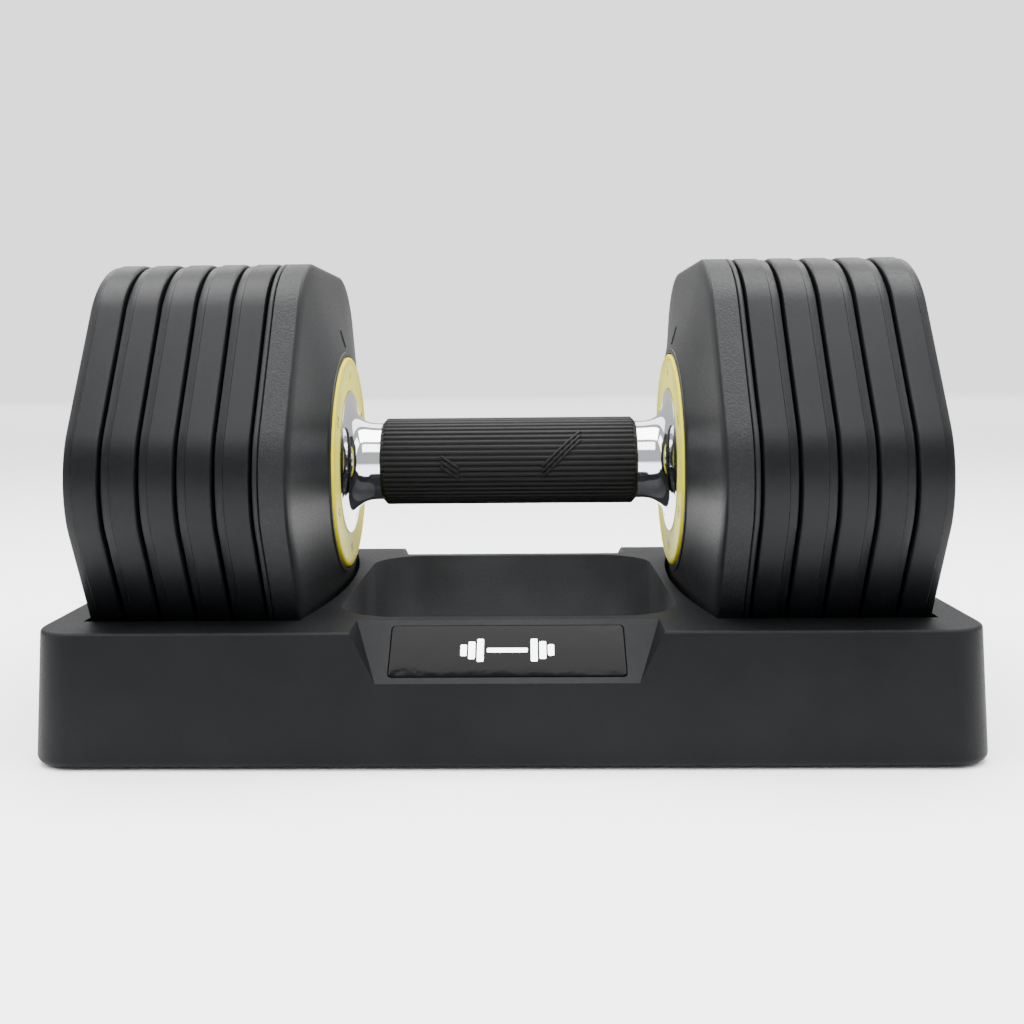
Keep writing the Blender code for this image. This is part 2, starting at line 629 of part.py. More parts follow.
def make_lock_spring():
    """Coil spring that pushes the lock slider down."""
    bottom = -TOOTH_TOP_RADIUS + FIT + LOCK_SPRING_WIRE / 2
    top = spring_top() - LOCK_SPRING_WIRE / 2
    steps = LOCK_SPRING_TURNS * COIL_STEPS
    half = LOCK_SPRING_WIRE / 2
    rings = []
    for step in range(steps + 1):
        angle = math.tau * step / COIL_STEPS
        height = bottom + (top - bottom) * step / steps
        ring = []
        for out, rise in ((-half, -half), (half, -half), (half, half), (-half, half)):
            radius = LOCK_SPRING_RADIUS + out
            ring.append((slider_middle_x() + radius * math.cos(angle),
                         radius * math.sin(angle), height + rise))
        rings.append(ring)
    return skin("lock_spring_right", rings)


def build_frame(body):
    """The two heads and the tube that joins them."""
    finish(make_guide_tube(), BRIGHT_STEEL, body, smooth=True)
    makers = ((make_head_shell, BLACK_PLASTIC, False), (make_head_core, CAST_STEEL, False),
              (make_head_cover, BLACK_PLASTIC, False), (make_bush, BRONZE, True),
              (make_nut, BRIGHT_STEEL, False), (make_click_spring, BRIGHT_STEEL, False),
              (make_lock_spring, BRIGHT_STEEL, False))
    for make, paint, smooth in makers:
        right = make()
        left = copy_solid(right, right.name.replace("_right", "_left"), mirror=True)
        finish(right, paint, body, smooth)
        finish(left, paint, body, smooth)


def make_slider():
    """Safety slider: a bar that the tray's post lifts, with a tooth on top."""
    end = BUSH_END_X - FIT
    half = SLIDER_WIDTH / 2
    bar = block("lock_slider_right", (end - SLIDER_THICKNESS, -half,
                                      -HEX_HALF_HEIGHT + POST_HEIGHT),
                (end, half, -TOOTH_TOP_RADIUS))
    tooth_half = TOOTH_WIDTH / 2
    tooth_x = FLANGE_END_X - LOCK_GROOVE_DEPTH + FIT
    tooth = block("tooth", (tooth_x, -tooth_half, -TOOTH_TOP_RADIUS - TOOTH_HEIGHT),
                  (end - SLIDER_THICKNESS / 2, tooth_half, -TOOTH_TOP_RADIUS - FIT))
    return combine(bar, tooth, "UNION")


def make_lock_rod():
    """Rod that slides out through the plates, bored for its follower pin."""
    rod = rod_along_x("lock_rod_right", ROD_INNER_END, ROD_REST_END, ROD_RADIUS)
    return combine(rod, rod_along_z("pin_bore", (PIN_REST_X, 0), -ROD_RADIUS - CUT_OVERRUN,
                                    ROD_RADIUS + CUT_OVERRUN, PIN_RADIUS + FIT, SMALL_STEPS))


def make_follower_pin():
    """Cross pin that follows the cam sleeve's slots."""
    reach = CAM_RADIUS - FIT
    return rod_along_z("follower_pin_right", (PIN_REST_X, 0), -reach, reach, PIN_RADIUS, SMALL_STEPS)


# ================================================================ plates
def make_plate_shell():
    """Moulded plate body: a hexagonal pan with a bore and a dovetail groove."""
    start = FIRST_PLATE_X
    end = start + PLATE_THICKNESS
    shell = along_x("plate_shell", [
        (start, hexagon(PLATE_INNER_CHAMFER * 2 / 3)), (start + PLATE_INNER_CHAMFER, hexagon()),
        (end - PLATE_BAND_WIDTH, hexagon()),
        (end - PLATE_BAND_WIDTH + PLATE_BAND_STEP, hexagon(PLATE_BAND_STEP)),
        (end, hexagon(PLATE_BAND_EDGE))])
    pocket = hexagon(PLATE_RIM_WALL)
    seat = along_x("core_seat", [(start + PLATE_FACE_WALL, pocket), (end + CUT_OVERRUN, pocket)])
    combine(seat, rod_along_x("boss", start, end + 2 * CUT_OVERRUN, BOSS_RADIUS))
    combine(shell, seat)
    combine(shell, rod_along_x("bore", start - CUT_OVERRUN, end + CUT_OVERRUN, ROD_BORE))
    return combine(shell, make_tongue(start - PLATE_GAP, RUNNING_FIT, -PAST_HEX, PAST_HEX))


def make_plate_core(with_tongue):
    """Steel weight of one plate, with the tongue for the next plate."""
    start = FIRST_PLATE_X + PLATE_FACE_WALL + FIT
    end = FIRST_PLATE_X + PLATE_THICKNESS
    outline = hexagon(PLATE_RIM_WALL + FIT)
    core = along_x("plate_core", [(start, outline), (end, outline)])
    if with_tongue:
        combine(core, make_tongue(end), "UNION")
    return combine(core, rod_along_x("boss_bore", start - CUT_OVERRUN,
                                     end + TONGUE_LENGTH + CUT_OVERRUN,
                                     BOSS_RADIUS + FIT))


def build_plates(tray_body):
    """Five plates a side, each its own body of a shell and a steel core."""
    shell = make_plate_shell()
    core = make_plate_core(True)
    end_core = make_plate_core(False)
    for side, sign in (("right", 1), ("left", -1)):
        for number in range(PLATE_COUNT):
            body = make_body(f"body_plate_{side}_{number + 1}", AXIS_Z, tray_body)
            shift = sign * number * PLATE_PITCH
            source = end_core if number == PLATE_COUNT - 1 else core
            name = f"{side}_{number + 1}"
            finish(copy_solid(shell, f"plate_shell_{name}", shift, sign < 0), DARK_PLASTIC, body)
            finish(copy_solid(source, f"plate_core_{name}", shift, sign < 0), CAST_STEEL, body)
    for source in (shell, core, end_core):
        bpy.data.objects.remove(source, do_unlink=True)


# ================================================================ tray
def tray_outline(z, inset):
    """The tray's outline in (x, y) at a height, moved inwards by inset."""
    share = z / TRAY_TOP_Z
    return rounded_rectangle(TRAY_HALF_LENGTH - TRAY_DRAFT_X * share - inset,
                             TRAY_HALF_DEPTH - TRAY_DRAFT_Y * share - inset, TRAY_CORNER - inset)


def pocket_cutter(grow=0.0):
    """Pocket for one stack and its head, on the right, grown for the wall."""
    start = POCKET_INNER_X - grow
    end = STACK_END_X + POCKET_END_GAP + grow
    top = TRAY_TOP_Z + CUT_OVERRUN - AXIS_Z
    outline = hexagon(-POCKET_CLEARANCE - grow)
    pocket = along_x("pocket", [(start, outline), (end, outline)])
    foot_z = TRAY_TOP_Z - POCKET_MOUTH_DEPTH - AXIS_Z - grow
    slope = (POCKET_MOUTH_HALF - POCKET_MOUTH_FOOT_HALF) / POCKET_MOUTH_DEPTH
    foot = POCKET_MOUTH_FOOT_HALF + grow
    mouth = foot + slope * (top - foot_z)
    outline = [(-foot, foot_z), (foot, foot_z), (mouth, top), (-mouth, top)]
    combine(pocket, along_x("mouth", [(start, outline), (end, outline)]), "UNION")
    pocket.data.transform(Matrix.Translation((0, 0, AXIS_Z)))
    return pocket


def recess_cutter(grow=0.0):
    """Space for the hand under the grip."""
    low = rounded_rectangle(RECESS_HALF_X - RECESS_DRAFT_X + grow,
                            RECESS_HALF_Y - RECESS_DRAFT_Y + grow, RECESS_CORNER)
    high = rounded_rectangle(RECESS_HALF_X + grow, RECESS_HALF_Y + grow, RECESS_CORNER)
    return along_z("recess", [(RECESS_FLOOR_Z - grow, low), (TRAY_TOP_Z, high),
                              (TRAY_TOP_Z + CUT_OVERRUN, high)])


def notch_slope():
    """How far the notch's face runs back for each metre that it rises."""
    return (wall_y(NOTCH_FOOT_Z) - NOTCH_TOP_Y) / (TRAY_TOP_Z - NOTCH_FOOT_Z)


def wall_y(z):
    """Half depth of the tray's outside at a height."""
    return TRAY_HALF_DEPTH - TRAY_DRAFT_Y * z / TRAY_TOP_Z


def notch_cutter(side, grow=0.0):
    """Sloping notch in the middle of a long side, grown for the wall."""
    sections = []
    for z in (NOTCH_FOOT_Z - grow, TRAY_TOP_Z + CUT_OVERRUN):
        rise = z - NOTCH_FOOT_Z
        half = NOTCH_FOOT_HALF + grow + rise * (NOTCH_TOP_HALF - NOTCH_FOOT_HALF) / (
            TRAY_TOP_Z - NOTCH_FOOT_Z)
        near = side * (wall_y(NOTCH_FOOT_Z) - rise * notch_slope() - grow)
        far = side * (TRAY_HALF_DEPTH + NOTCH_DEPTH)
        sections.append((z, [(-half, near), (half, near), (half, far), (-half, far)]))
    return along_z("notch", sections)


def badge_solid(name, grow, bottom, top):
    """A flat rounded plate lying on the front notch's face."""
    outline = rounded_rectangle(BADGE_HALF_LENGTH + grow, BADGE_WIDTH / 2 + grow, BADGE_CORNER + grow)
    badge = along_z(name, [(bottom, outline), (top, outline)])
    tilt = math.atan2(1.0, notch_slope())
    middle_y = -(wall_y(NOTCH_FOOT_Z) + NOTCH_TOP_Y) / 2
    middle_z = (NOTCH_FOOT_Z + TRAY_TOP_Z) / 2
    place = Matrix.Translation((0, middle_y, middle_z)) @ Matrix.Rotation(tilt, 4, "X")
    badge.data.transform(place)
    return badge


def screw_places():
    """The four base screws' (x, y) places."""
    return [(x, y) for x in (-SCREW_X, SCREW_X) for y in (-SCREW_Y, SCREW_Y)]


def foot_places():
    """The four feet's (x, y) places."""
    return [(x, y) for x in (-FOOT_X, FOOT_X) for y in (-FOOT_Y, FOOT_Y)]


def pan_bottom_z():
    """Underside of the base pan, flush with the tray's lower edge."""
    return FOOT_HEIGHT - FOOT_SEAT_DEPTH


def make_tray_hollow():
    """Cutter for the space under the tray's skin, open at the bottom."""
    wall = TRAY_WALL
    hollow = along_z("hollow", [(-CUT_OVERRUN, tray_outline(-CUT_OVERRUN, wall)),
                                (TRAY_TOP_Z - wall, tray_outline(TRAY_TOP_Z - wall, wall))])
    right = pocket_cutter(wall)
    left = copy_solid(right, "pocket", mirror=True)
    for kept in (right, left, recess_cutter(wall), notch_cutter(-1, wall), notch_cutter(1, wall)):
        combine(hollow, kept)
    boss_bottom = pan_bottom_z() + PAN_THICKNESS + FIT
    for place in screw_places():
        combine(hollow, rod_along_z("boss", place, boss_bottom, TRAY_TOP_Z,
                                    SCREW_SHANK + FIT + BOSS_WALL, SMALL_STEPS))
    return hollow


def make_tray_shell():
    """Thin-walled tray with two stack pockets and a hand recess."""
    bottom = pan_bottom_z()
    shell = along_z("tray_shell", [
        (bottom, tray_outline(0, TRAY_FOOT_EDGE * 2 / 3)),
        (bottom + TRAY_FOOT_EDGE, tray_outline(0, 0)),
        (TRAY_TOP_Z - TRAY_EDGE, tray_outline(TRAY_TOP_Z, 0)),
        (TRAY_TOP_Z, tray_outline(TRAY_TOP_Z, TRAY_EDGE))])
    right = pocket_cutter()
    post_half = SLIDER_WIDTH / 2 - FIT
    post_x = slider_middle_x()
    combine(right, block("post", (post_x - SLIDER_THICKNESS / 2 + FIT, -post_half, 0),
                         (post_x + SLIDER_THICKNESS / 2 - FIT, post_half,
                          AXIS_Z - HEX_HALF_HEIGHT + POST_HEIGHT - FIT)))
    left = copy_solid(right, "pocket", mirror=True)
    cutters = [right, left, recess_cutter(), notch_cutter(-1), notch_cutter(1), make_tray_hollow()]
    for place in screw_places():
        cutters.append(rod_along_z("screw_bore", place, 0,
                                   bottom + SCREW_LENGTH + FIT, SCREW_SHANK + FIT, SHANK_STEPS))
    cutters.append(badge_solid("badge_seat", FIT, BADGE_PROUD - BADGE_THICKNESS - FIT, NOTCH_DEPTH))
    for cutter in cutters:
        combine(shell, cutter)
    return shell


def make_base_pan():
    """Flat pan that closes the tray from below."""
    bottom = pan_bottom_z()
    outline = tray_outline(bottom + PAN_THICKNESS, TRAY_WALL + FIT)
    pan = along_z("base_pan", [(bottom, outline), (bottom + PAN_THICKNESS, outline)])
    for place in foot_places():
        combine(pan, rod_along_z("foot_seat", place, 0, FOOT_HEIGHT + FIT, FOOT_RADIUS + FIT,
                                 SMALL_STEPS))
    for place in screw_places():
        combine(pan, rod_along_z("shank_bore", place, 0, bottom + 2 * PAN_THICKNESS,
                                 SCREW_SHANK + FIT, SHANK_STEPS))
        combine(pan, rod_along_z("head_seat", place, 0, bottom + SCREW_HEAD_HEIGHT + FIT,
                                 SCREW_HEAD + FIT, SMALL_STEPS))
    return pan


def make_screw(name, place):
    """Countersunk base screw, its head flush with the pan."""
    bottom = pan_bottom_z()
    head = rod_along_z(name, place, bottom, bottom + SCREW_HEAD_HEIGHT, SCREW_HEAD,
                       SMALL_STEPS)
    shank = rod_along_z("shank", place, bottom + SCREW_HEAD_HEIGHT / 2, bottom + SCREW_LENGTH,
                        SCREW_SHANK, SHANK_STEPS)
    return combine(head, shank, "UNION")


def build_tray(body):
    """The tray that the dumbbell and its spare plates stand in."""
    finish(make_tray_shell(), BLACK_PLASTIC, body)
    finish(make_base_pan(), BLACK_PLASTIC, body)
    badge = badge_solid("badge_plate", 0.0, BADGE_PROUD - BADGE_THICKNESS, BADGE_PROUD)
    finish(badge, GLOSS_BLACK, body)
    for number, place in enumerate(foot_places(), start=1):
        foot = rod_along_z(f"foot_{number}", place, 0, FOOT_HEIGHT, FOOT_RADIUS, SMALL_STEPS)
        finish(foot, BLACK_RUBBER, body)
    for number, place in enumerate(screw_places(), start=1):
        finish(make_screw(f"base_screw_{number}", place), BRIGHT_STEEL, body)


def main():
    """Build every body, from the tray outwards."""
    clear_scene()
    tray = make_body("body_tray")
    frame = make_body("body_frame", AXIS_Z, tray)
    build_tray(tray)
    build_frame(frame)
    build_handle(make_body("body_handle", 0.0, frame))
    for make, paint in ((make_lock_rod, BRIGHT_STEEL), (make_follower_pin, BRIGHT_STEEL),
                        (make_slider, BRIGHT_STEEL)):
        right = make()
        left = copy_solid(right, right.name.replace("_right", "_left"), mirror=True)
        finish(right, paint, make_body(f"body_{right.name}", 0.0, frame))
        finish(left, paint, make_body(f"body_{left.name}", 0.0, frame))
    build_plates(tray)


main()
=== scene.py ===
"""Looks of an adjustable dumbbell with a twist handle, standing in its tray.

Every length is in metres unless its name ends in _mm. X runs along the handle,
Z is up, and the frame's origin is on the ground under the middle of the tray.
"""

import json
import logging
import math
from dataclasses import dataclass
from enum import Enum

import bmesh
import bpy
from mathutils import Matrix, Vector


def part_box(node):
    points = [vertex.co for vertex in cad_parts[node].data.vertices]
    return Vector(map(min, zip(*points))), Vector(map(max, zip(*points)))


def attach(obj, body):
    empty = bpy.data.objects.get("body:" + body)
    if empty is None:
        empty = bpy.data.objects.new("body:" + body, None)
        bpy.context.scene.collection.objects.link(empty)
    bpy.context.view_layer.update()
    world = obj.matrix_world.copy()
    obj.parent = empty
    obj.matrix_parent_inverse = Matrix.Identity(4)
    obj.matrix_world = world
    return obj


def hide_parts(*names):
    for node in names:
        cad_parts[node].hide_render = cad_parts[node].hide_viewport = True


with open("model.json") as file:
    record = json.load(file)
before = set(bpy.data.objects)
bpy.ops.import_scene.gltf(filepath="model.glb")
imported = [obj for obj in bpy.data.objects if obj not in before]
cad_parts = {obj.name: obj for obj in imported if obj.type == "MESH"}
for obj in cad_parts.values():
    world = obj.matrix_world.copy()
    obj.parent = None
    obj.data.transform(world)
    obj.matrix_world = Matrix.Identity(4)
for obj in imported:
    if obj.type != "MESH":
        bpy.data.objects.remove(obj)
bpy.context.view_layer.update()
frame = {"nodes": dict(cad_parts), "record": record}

MM = 0.001
FIT = 0.0003
OVERCUT = 0.002
SOFT_EDGE = 0.0005
LOG = logging.getLogger("dumbbell")


# ---------------------------------------------------------------- measures
def node_low(node: str) -> Vector:
    """Lowest corner of a CAD node."""
    return Vector(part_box(node)[0])


def node_high(node: str) -> Vector:
    """Highest corner of a CAD node."""
    return Vector(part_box(node)[1])


AXIS_Z = (node_low("grip_sleeve").z + node_high("grip_sleeve").z) / 2


class Side(Enum):
    """The two ends of the handle, with the way their X runs."""

    LEFT = -1
    RIGHT = 1

    @property
    def word(self) -> str:
        """The side's word in node and body names."""
        return self.name.lower()


# ---------------------------------------------------------------- materials
def linear(colour: str) -> tuple[float, float, float, float]:
    """Turn an sRGB hex colour such as "#202124" into linear RGBA.

    Args:
        colour: The colour, with a leading hash.

    Returns:
        Linear red, green, blue and an alpha of one.
    """
    parts = [int(colour[start:start + 2], 16) / 255 for start in (1, 3, 5)]
    values = [part / 12.92 if part <= 0.04045 else ((part + 0.055) / 1.055) ** 2.4 for part in parts]
    return (values[0], values[1], values[2], 1.0)


def add_node(tree: bpy.types.NodeTree, kind: str, settings: dict | None = None,
             inputs: dict | None = None, links: dict | None = None) -> bpy.types.Node:
    """Add a shader node with its settings, values and incoming links.

    Args:
        tree: The node tree to add to.
        kind: The node's type.
        settings: The node's own properties.
        inputs: Values of input sockets, by name or number.
        links: Output sockets that feed input sockets, by name or number.

    Returns:
        The new node.
    """
    node = tree.nodes.new(kind)
    for name, value in (settings or {}).items():
        setattr(node, name, value)
    for name, value in (inputs or {}).items():
        node.inputs[name].default_value = value
    for name, source in (links or {}).items():
        tree.links.new(source, node.inputs[name])
    return node


def blank_material(name: str) -> tuple[bpy.types.Material, bpy.types.NodeTree, bpy.types.Node]:
    """Make a material that holds only a Principled shader.

    Args:
        name: The material's name.

    Returns:
        The material, its tree and its shader.
    """
    material = bpy.data.materials.new(name)
    material.use_nodes = True
    tree = material.node_tree
    return material, tree, tree.nodes["Principled BSDF"]


def set_ramp(node: bpy.types.Node, stops: list[tuple[float, tuple[float, float, float, float]]]) -> None:
    """Set a colour ramp's stops.

    Args:
        node: The ramp node.
        stops: Position and colour of each stop, in order.
    """
    ramp = node.color_ramp
    while len(ramp.elements) < len(stops):
        ramp.elements.new(1.0)
    for element, (position, colour) in zip(ramp.elements, stops):
        element.position = position
        element.color = colour


def scaled(colour: tuple[float, float, float, float], factor: float) -> tuple[float, float, float, float]:
    """Lighten or darken a linear colour by a factor."""
    return (colour[0] * factor, colour[1] * factor, colour[2] * factor, 1.0)


@dataclass(frozen=True)
class MouldedPlastic:
    """Injection-moulded plastic, textured by its spark-eroded mould.

    The eye sees a soft satin sheen broken by a fine even grain, and slow
    changes of gloss where the plastic flowed.
    """

    name: str
    colour: str
    roughness: float
    grain_mm: float
    relief_mm: float
    specular: float = 0.5
    mottle: float = 0.25
    cloud_mm: float = 45.0

    def material(self) -> bpy.types.Material:
        """Build the material."""
        material, tree, shader = blank_material(self.name)
        place = add_node(tree, "ShaderNodeTexCoord")
        grain = add_node(tree, "ShaderNodeTexNoise",
                         inputs={"Scale": 1 / (self.grain_mm * MM), "Detail": 4.0, "Roughness": 0.65},
                         links={"Vector": place.outputs["Object"]})
        cloud = add_node(tree, "ShaderNodeTexNoise",
                         inputs={"Scale": 1 / (self.cloud_mm * MM), "Detail": 3.0},
                         links={"Vector": place.outputs["Object"]})
        base = linear(self.colour)
        tint = add_node(tree, "ShaderNodeValToRGB", links={"Fac": cloud.outputs["Fac"]})
        set_ramp(tint, [(0.3, scaled(base, 1 - self.mottle)), (0.7, scaled(base, 1 + self.mottle))])
        gloss = add_node(tree, "ShaderNodeMapRange",
                         inputs={"From Min": 0.3, "From Max": 0.7,
                                 "To Min": self.roughness - 0.05, "To Max": self.roughness + 0.07},
                         links={"Value": grain.outputs["Fac"]})
        bump = add_node(tree, "ShaderNodeBump",
                        inputs={"Strength": 0.6, "Distance": self.relief_mm * MM},
                        links={"Height": grain.outputs["Fac"]})
        tree.links.new(tint.outputs["Color"], shader.inputs["Base Color"])
        tree.links.new(gloss.outputs["Result"], shader.inputs["Roughness"])
        tree.links.new(bump.outputs["Normal"], shader.inputs["Normal"])
        shader.inputs["Specular IOR Level"].default_value = self.specular
        return material


@dataclass(frozen=True)
class GrainedBand:
    """Plastic moulded with a coarse leather-like grain round the head's rim.

    The eye sees small pebbles, coloured lighter on their tops and darker in the hollows between them: painted
    highlight and painted shade laid on by the pebbles' height.
    """

    name: str
    colour: str
    painted_highlight_colour: str
    roughness: float
    pebble_mm: float
    relief_mm: float
    specular: float = 0.20

    def material(self) -> bpy.types.Material:
        """Build the material."""
        material, tree, shader = blank_material(self.name)
        place = add_node(tree, "ShaderNodeTexCoord")
        warp = add_node(tree, "ShaderNodeTexNoise",
                        inputs={"Scale": 1 / (3 * self.pebble_mm * MM), "Detail": 5.0, "Roughness": 0.7},
                        links={"Vector": place.outputs["Object"]})
        pebble = add_node(tree, "ShaderNodeTexVoronoi", {"feature": "SMOOTH_F1"},
                          inputs={"Scale": 1 / (self.pebble_mm * MM), "Smoothness": 0.6},
                          links={"Vector": place.outputs["Object"]})
        height = add_node(tree, "ShaderNodeMath", {"operation": "MULTIPLY_ADD"}, inputs={1: -0.7},
                          links={0: pebble.outputs["Distance"], 2: warp.outputs["Fac"]})
        # Painted highlight on the pebble tops and painted shade in the hollows: the colour follows the
        # pebbles' height.
        tint = add_node(tree, "ShaderNodeValToRGB", links={"Fac": height.outputs["Value"]})
        set_ramp(tint, [(0.15, linear(self.colour)), (0.55, linear(self.painted_highlight_colour))])
        bump = add_node(tree, "ShaderNodeBump",
                        inputs={"Strength": 0.9, "Distance": self.relief_mm * MM},
                        links={"Height": height.outputs["Value"]})
        tree.links.new(tint.outputs["Color"], shader.inputs["Base Color"])
        tree.links.new(bump.outputs["Normal"], shader.inputs["Normal"])
        shader.inputs["Roughness"].default_value = self.roughness
        shader.inputs["Specular IOR Level"].default_value = self.specular
        return material


@dataclass(frozen=True)
class BareMetal:
    """Metal left bare or plated: turned, cast or polished by its roughness.

    The eye sees reflections drawn out by fine tool marks round the X axis.
    """

    name: str
    colour: str
    roughness: float
    mark_mm: float
    relief_mm: float
    spread: float = 0.04

    def material(self) -> bpy.types.Material:
        """Build the material."""
        material, tree, shader = blank_material(self.name)
        place = add_node(tree, "ShaderNodeTexCoord")
        marks = add_node(tree, "ShaderNodeTexNoise",
                         inputs={"Scale": 1 / (self.mark_mm * MM), "Detail": 3.0},
                         links={"Vector": place.outputs["Object"]})
        gloss = add_node(tree, "ShaderNodeMapRange",
                         inputs={"From Min": 0.3, "From Max": 0.7,
                                 "To Min": self.roughness - self.spread,
                                 "To Max": self.roughness + self.spread},
                         links={"Value": marks.outputs["Fac"]})
        bump = add_node(tree, "ShaderNodeBump",
                        inputs={"Strength": 0.4, "Distance": self.relief_mm * MM},
                        links={"Height": marks.outputs["Fac"]})
        tree.links.new(gloss.outputs["Result"], shader.inputs["Roughness"])
        tree.links.new(bump.outputs["Normal"], shader.inputs["Normal"])
        shader.inputs["Base Color"].default_value = linear(self.colour)
        shader.inputs["Metallic"].default_value = 1.0
        return material


@dataclass(frozen=True)
class Lacquer:
    """Glossy lacquered or printed surface under a clear coat.

    The eye sees a deep even colour with sharp reflections and faint ripple.
    """

    name: str
    colour: str
    roughness: float
    coat: float
    specular: float = 0.5
    ripple_mm: float = 12.0
    relief_mm: float = 0.02

    def material(self) -> bpy.types.Material:
        """Build the material."""
        material, tree, shader = blank_material(self.name)
        place = add_node(tree, "ShaderNodeTexCoord")
        ripple = add_node(tree, "ShaderNodeTexNoise",
                          inputs={"Scale": 1 / (self.ripple_mm * MM), "Detail": 2.0},
                          links={"Vector": place.outputs["Object"]})
        base = linear(self.colour)
        tint = add_node(tree, "ShaderNodeValToRGB", links={"Fac": ripple.outputs["Fac"]})
        set_ramp(tint, [(0.3, scaled(base, 0.94)), (0.7, scaled(base, 1.06))])
        bump = add_node(tree, "ShaderNodeBump",
                        inputs={"Strength": 0.5, "Distance": self.relief_mm * MM},
                        links={"Height": ripple.outputs["Fac"]})
        tree.links.new(tint.outputs["Color"], shader.inputs["Base Color"])
        tree.links.new(bump.outputs["Normal"], shader.inputs["Normal"])
        shader.inputs["Roughness"].default_value = self.roughness
        shader.inputs["Specular IOR Level"].default_value = self.specular
        shader.inputs["Coat Weight"].default_value = self.coat
        shader.inputs["Coat Roughness"].default_value = 0.04
        return material


class Finishes:
    """Every finish on the object, each built once."""

    def __init__(self) -> None:
        """Build the materials."""
        self.tray = MouldedPlastic("tray_polypropylene", "#0b0c0e", 0.50, 1.1, 0.12, 0.10, 0.3).material()
        # The recess gets a lighter copy of the tray's plastic. Its lighter colour is painted light on the
        # recess walls and floor; only its coarser grain and bump are its own.
        self.recess = MouldedPlastic("tray_recess_coarse_grain", "#2b2c2e", 0.60, 1.6, 0.20, 0.22,
                                     0.3).material()
        self.plate = MouldedPlastic("plate_nylon", "#08090b", 0.38, 1.8, 0.10, 0.14, 0.3).material()
        self.cone = MouldedPlastic("head_abs_satin", "#0f1012", 0.42, 1.0, 0.05, 0.20, 0.3).material()
        self.cover = MouldedPlastic("cover_abs_satin", "#0d0e10", 0.45, 1.0, 0.05, 0.18).material()
        # The band's second colour is a painted highlight on its pebble tops.
        self.band = GrainedBand("head_grained_rim", "#0a0b0d", "#18191b", 0.50, 0.9, 0.16).material()
        self.rubber = MouldedPlastic("grip_rubber", "#070708", 0.55, 0.7, 0.03, 0.16).material()
        self.foot = MouldedPlastic("foot_rubber", "#161616", 0.80, 0.8, 0.05, 0.30).material()
        self.chrome = BareMetal("collar_chrome", "#d6d8dc", 0.07, 9.0, 0.01, 0.02).material()
        self.steel = BareMetal("turned_steel", "#a9abae", 0.32, 1.5, 0.02).material()
        self.weight = BareMetal("cast_weight_steel", "#4a4b4d", 0.55, 1.2, 0.15, 0.08).material()
        self.bronze = BareMetal("bush_bronze", "#b0803c", 0.35, 1.2, 0.02).material()
        self.dial_face = Lacquer("dial_cream_enamel", "#ccc63e", 0.45, 0.0, 0.06).material()
        self.dial_rim = Lacquer("dial_yellow_enamel", "#c0b606", 0.40, 0.0, 0.08).material()
        self.ink = Lacquer("dial_numerals", "#4a4936", 0.50, 0.0, 0.06).material()
        self.badge = Lacquer("badge_gloss_black", "#060607", 0.12, 0.0, 0.05, 9.0, 0.35).material()
        self.silver = BareMetal("badge_foil", "#c9cacc", 0.25, 2.0, 0.01).material()
        self.slit = MouldedPlastic("pointer_matt_black", "#050505", 0.80, 0.8, 0.02, 0.2).material()


# ---------------------------------------------------------------- mesh tools
def to_piece(name: str, shape: bmesh.types.BMesh, material: bpy.types.Material, body: str,
             stands_for: tuple[str, ...] = (), sharp_degrees: float = 35.0) -> bpy.types.Object:
    """Turn a bmesh into a dressed piece that rides on a body.

    Args:
        name: The piece's name.
        shape: The mesh, which is freed.
        material: Its material.
        body: The CAD body that it moves with.
        stands_for: CAD nodes that it replaces.
        sharp_degrees: Edges that turn further than this stay sharp.

    Returns:
        The new object.
    """
    bmesh.ops.remove_doubles(shape, verts=shape.verts, dist=1e-6)
    bmesh.ops.recalc_face_normals(shape, faces=shape.faces)
    mesh = bpy.data.meshes.new(name)
    shape.to_mesh(mesh)
    shape.free()
    mesh.shade_smooth()
    mesh.set_sharp_from_angle(angle=math.radians(sharp_degrees))
    mesh.materials.append(material)
    item = bpy.data.objects.new(name, mesh)
    bpy.context.scene.collection.objects.link(item)
    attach(item, body)
    if stands_for:
        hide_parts(*stands_for)
    LOG.info("%s: %d faces on %s", name, len(mesh.polygons), body)
    return item


def carve(piece: bpy.types.Object, tool: bmesh.types.BMesh, operation: str = "DIFFERENCE") -> None:
    """Cut a closed shape out of a piece, or add it.

    Args:
        piece: The object that is cut.
        tool: The other shape, which is freed.
        operation: The Boolean's operation.
    """
    mesh = bpy.data.meshes.new("cutter")
    bmesh.ops.recalc_face_normals(tool, faces=tool.faces)
    tool.to_mesh(mesh)
    tool.free()
    cutter = bpy.data.objects.new("cutter", mesh)
    bpy.context.scene.collection.objects.link(cutter)
    modifier = piece.modifiers.new("carve", "BOOLEAN")
    modifier.solver = "EXACT"
    modifier.operation = operation
    modifier.object = cutter
    bpy.context.view_layer.update()
    evaluated = piece.evaluated_get(bpy.context.evaluated_depsgraph_get())
    result = bpy.data.meshes.new_from_object(evaluated)
    piece.modifiers.clear()
    piece.data = result
    bpy.data.objects.remove(cutter, do_unlink=True)


def box_shape(low: Vector, high: Vector) -> bmesh.types.BMesh:
    """Make a box between two corners.

    Args:
        low: The lowest corner.
        high: The highest corner.

    Returns:
        The box.
    """
    shape = bmesh.new()
    middle = (low + high) / 2
    size = high - low
    bmesh.ops.create_cube(shape, size=1.0, matrix=Matrix.Translation(middle) @ Matrix.Diagonal((*size, 1.0)))
    return shape


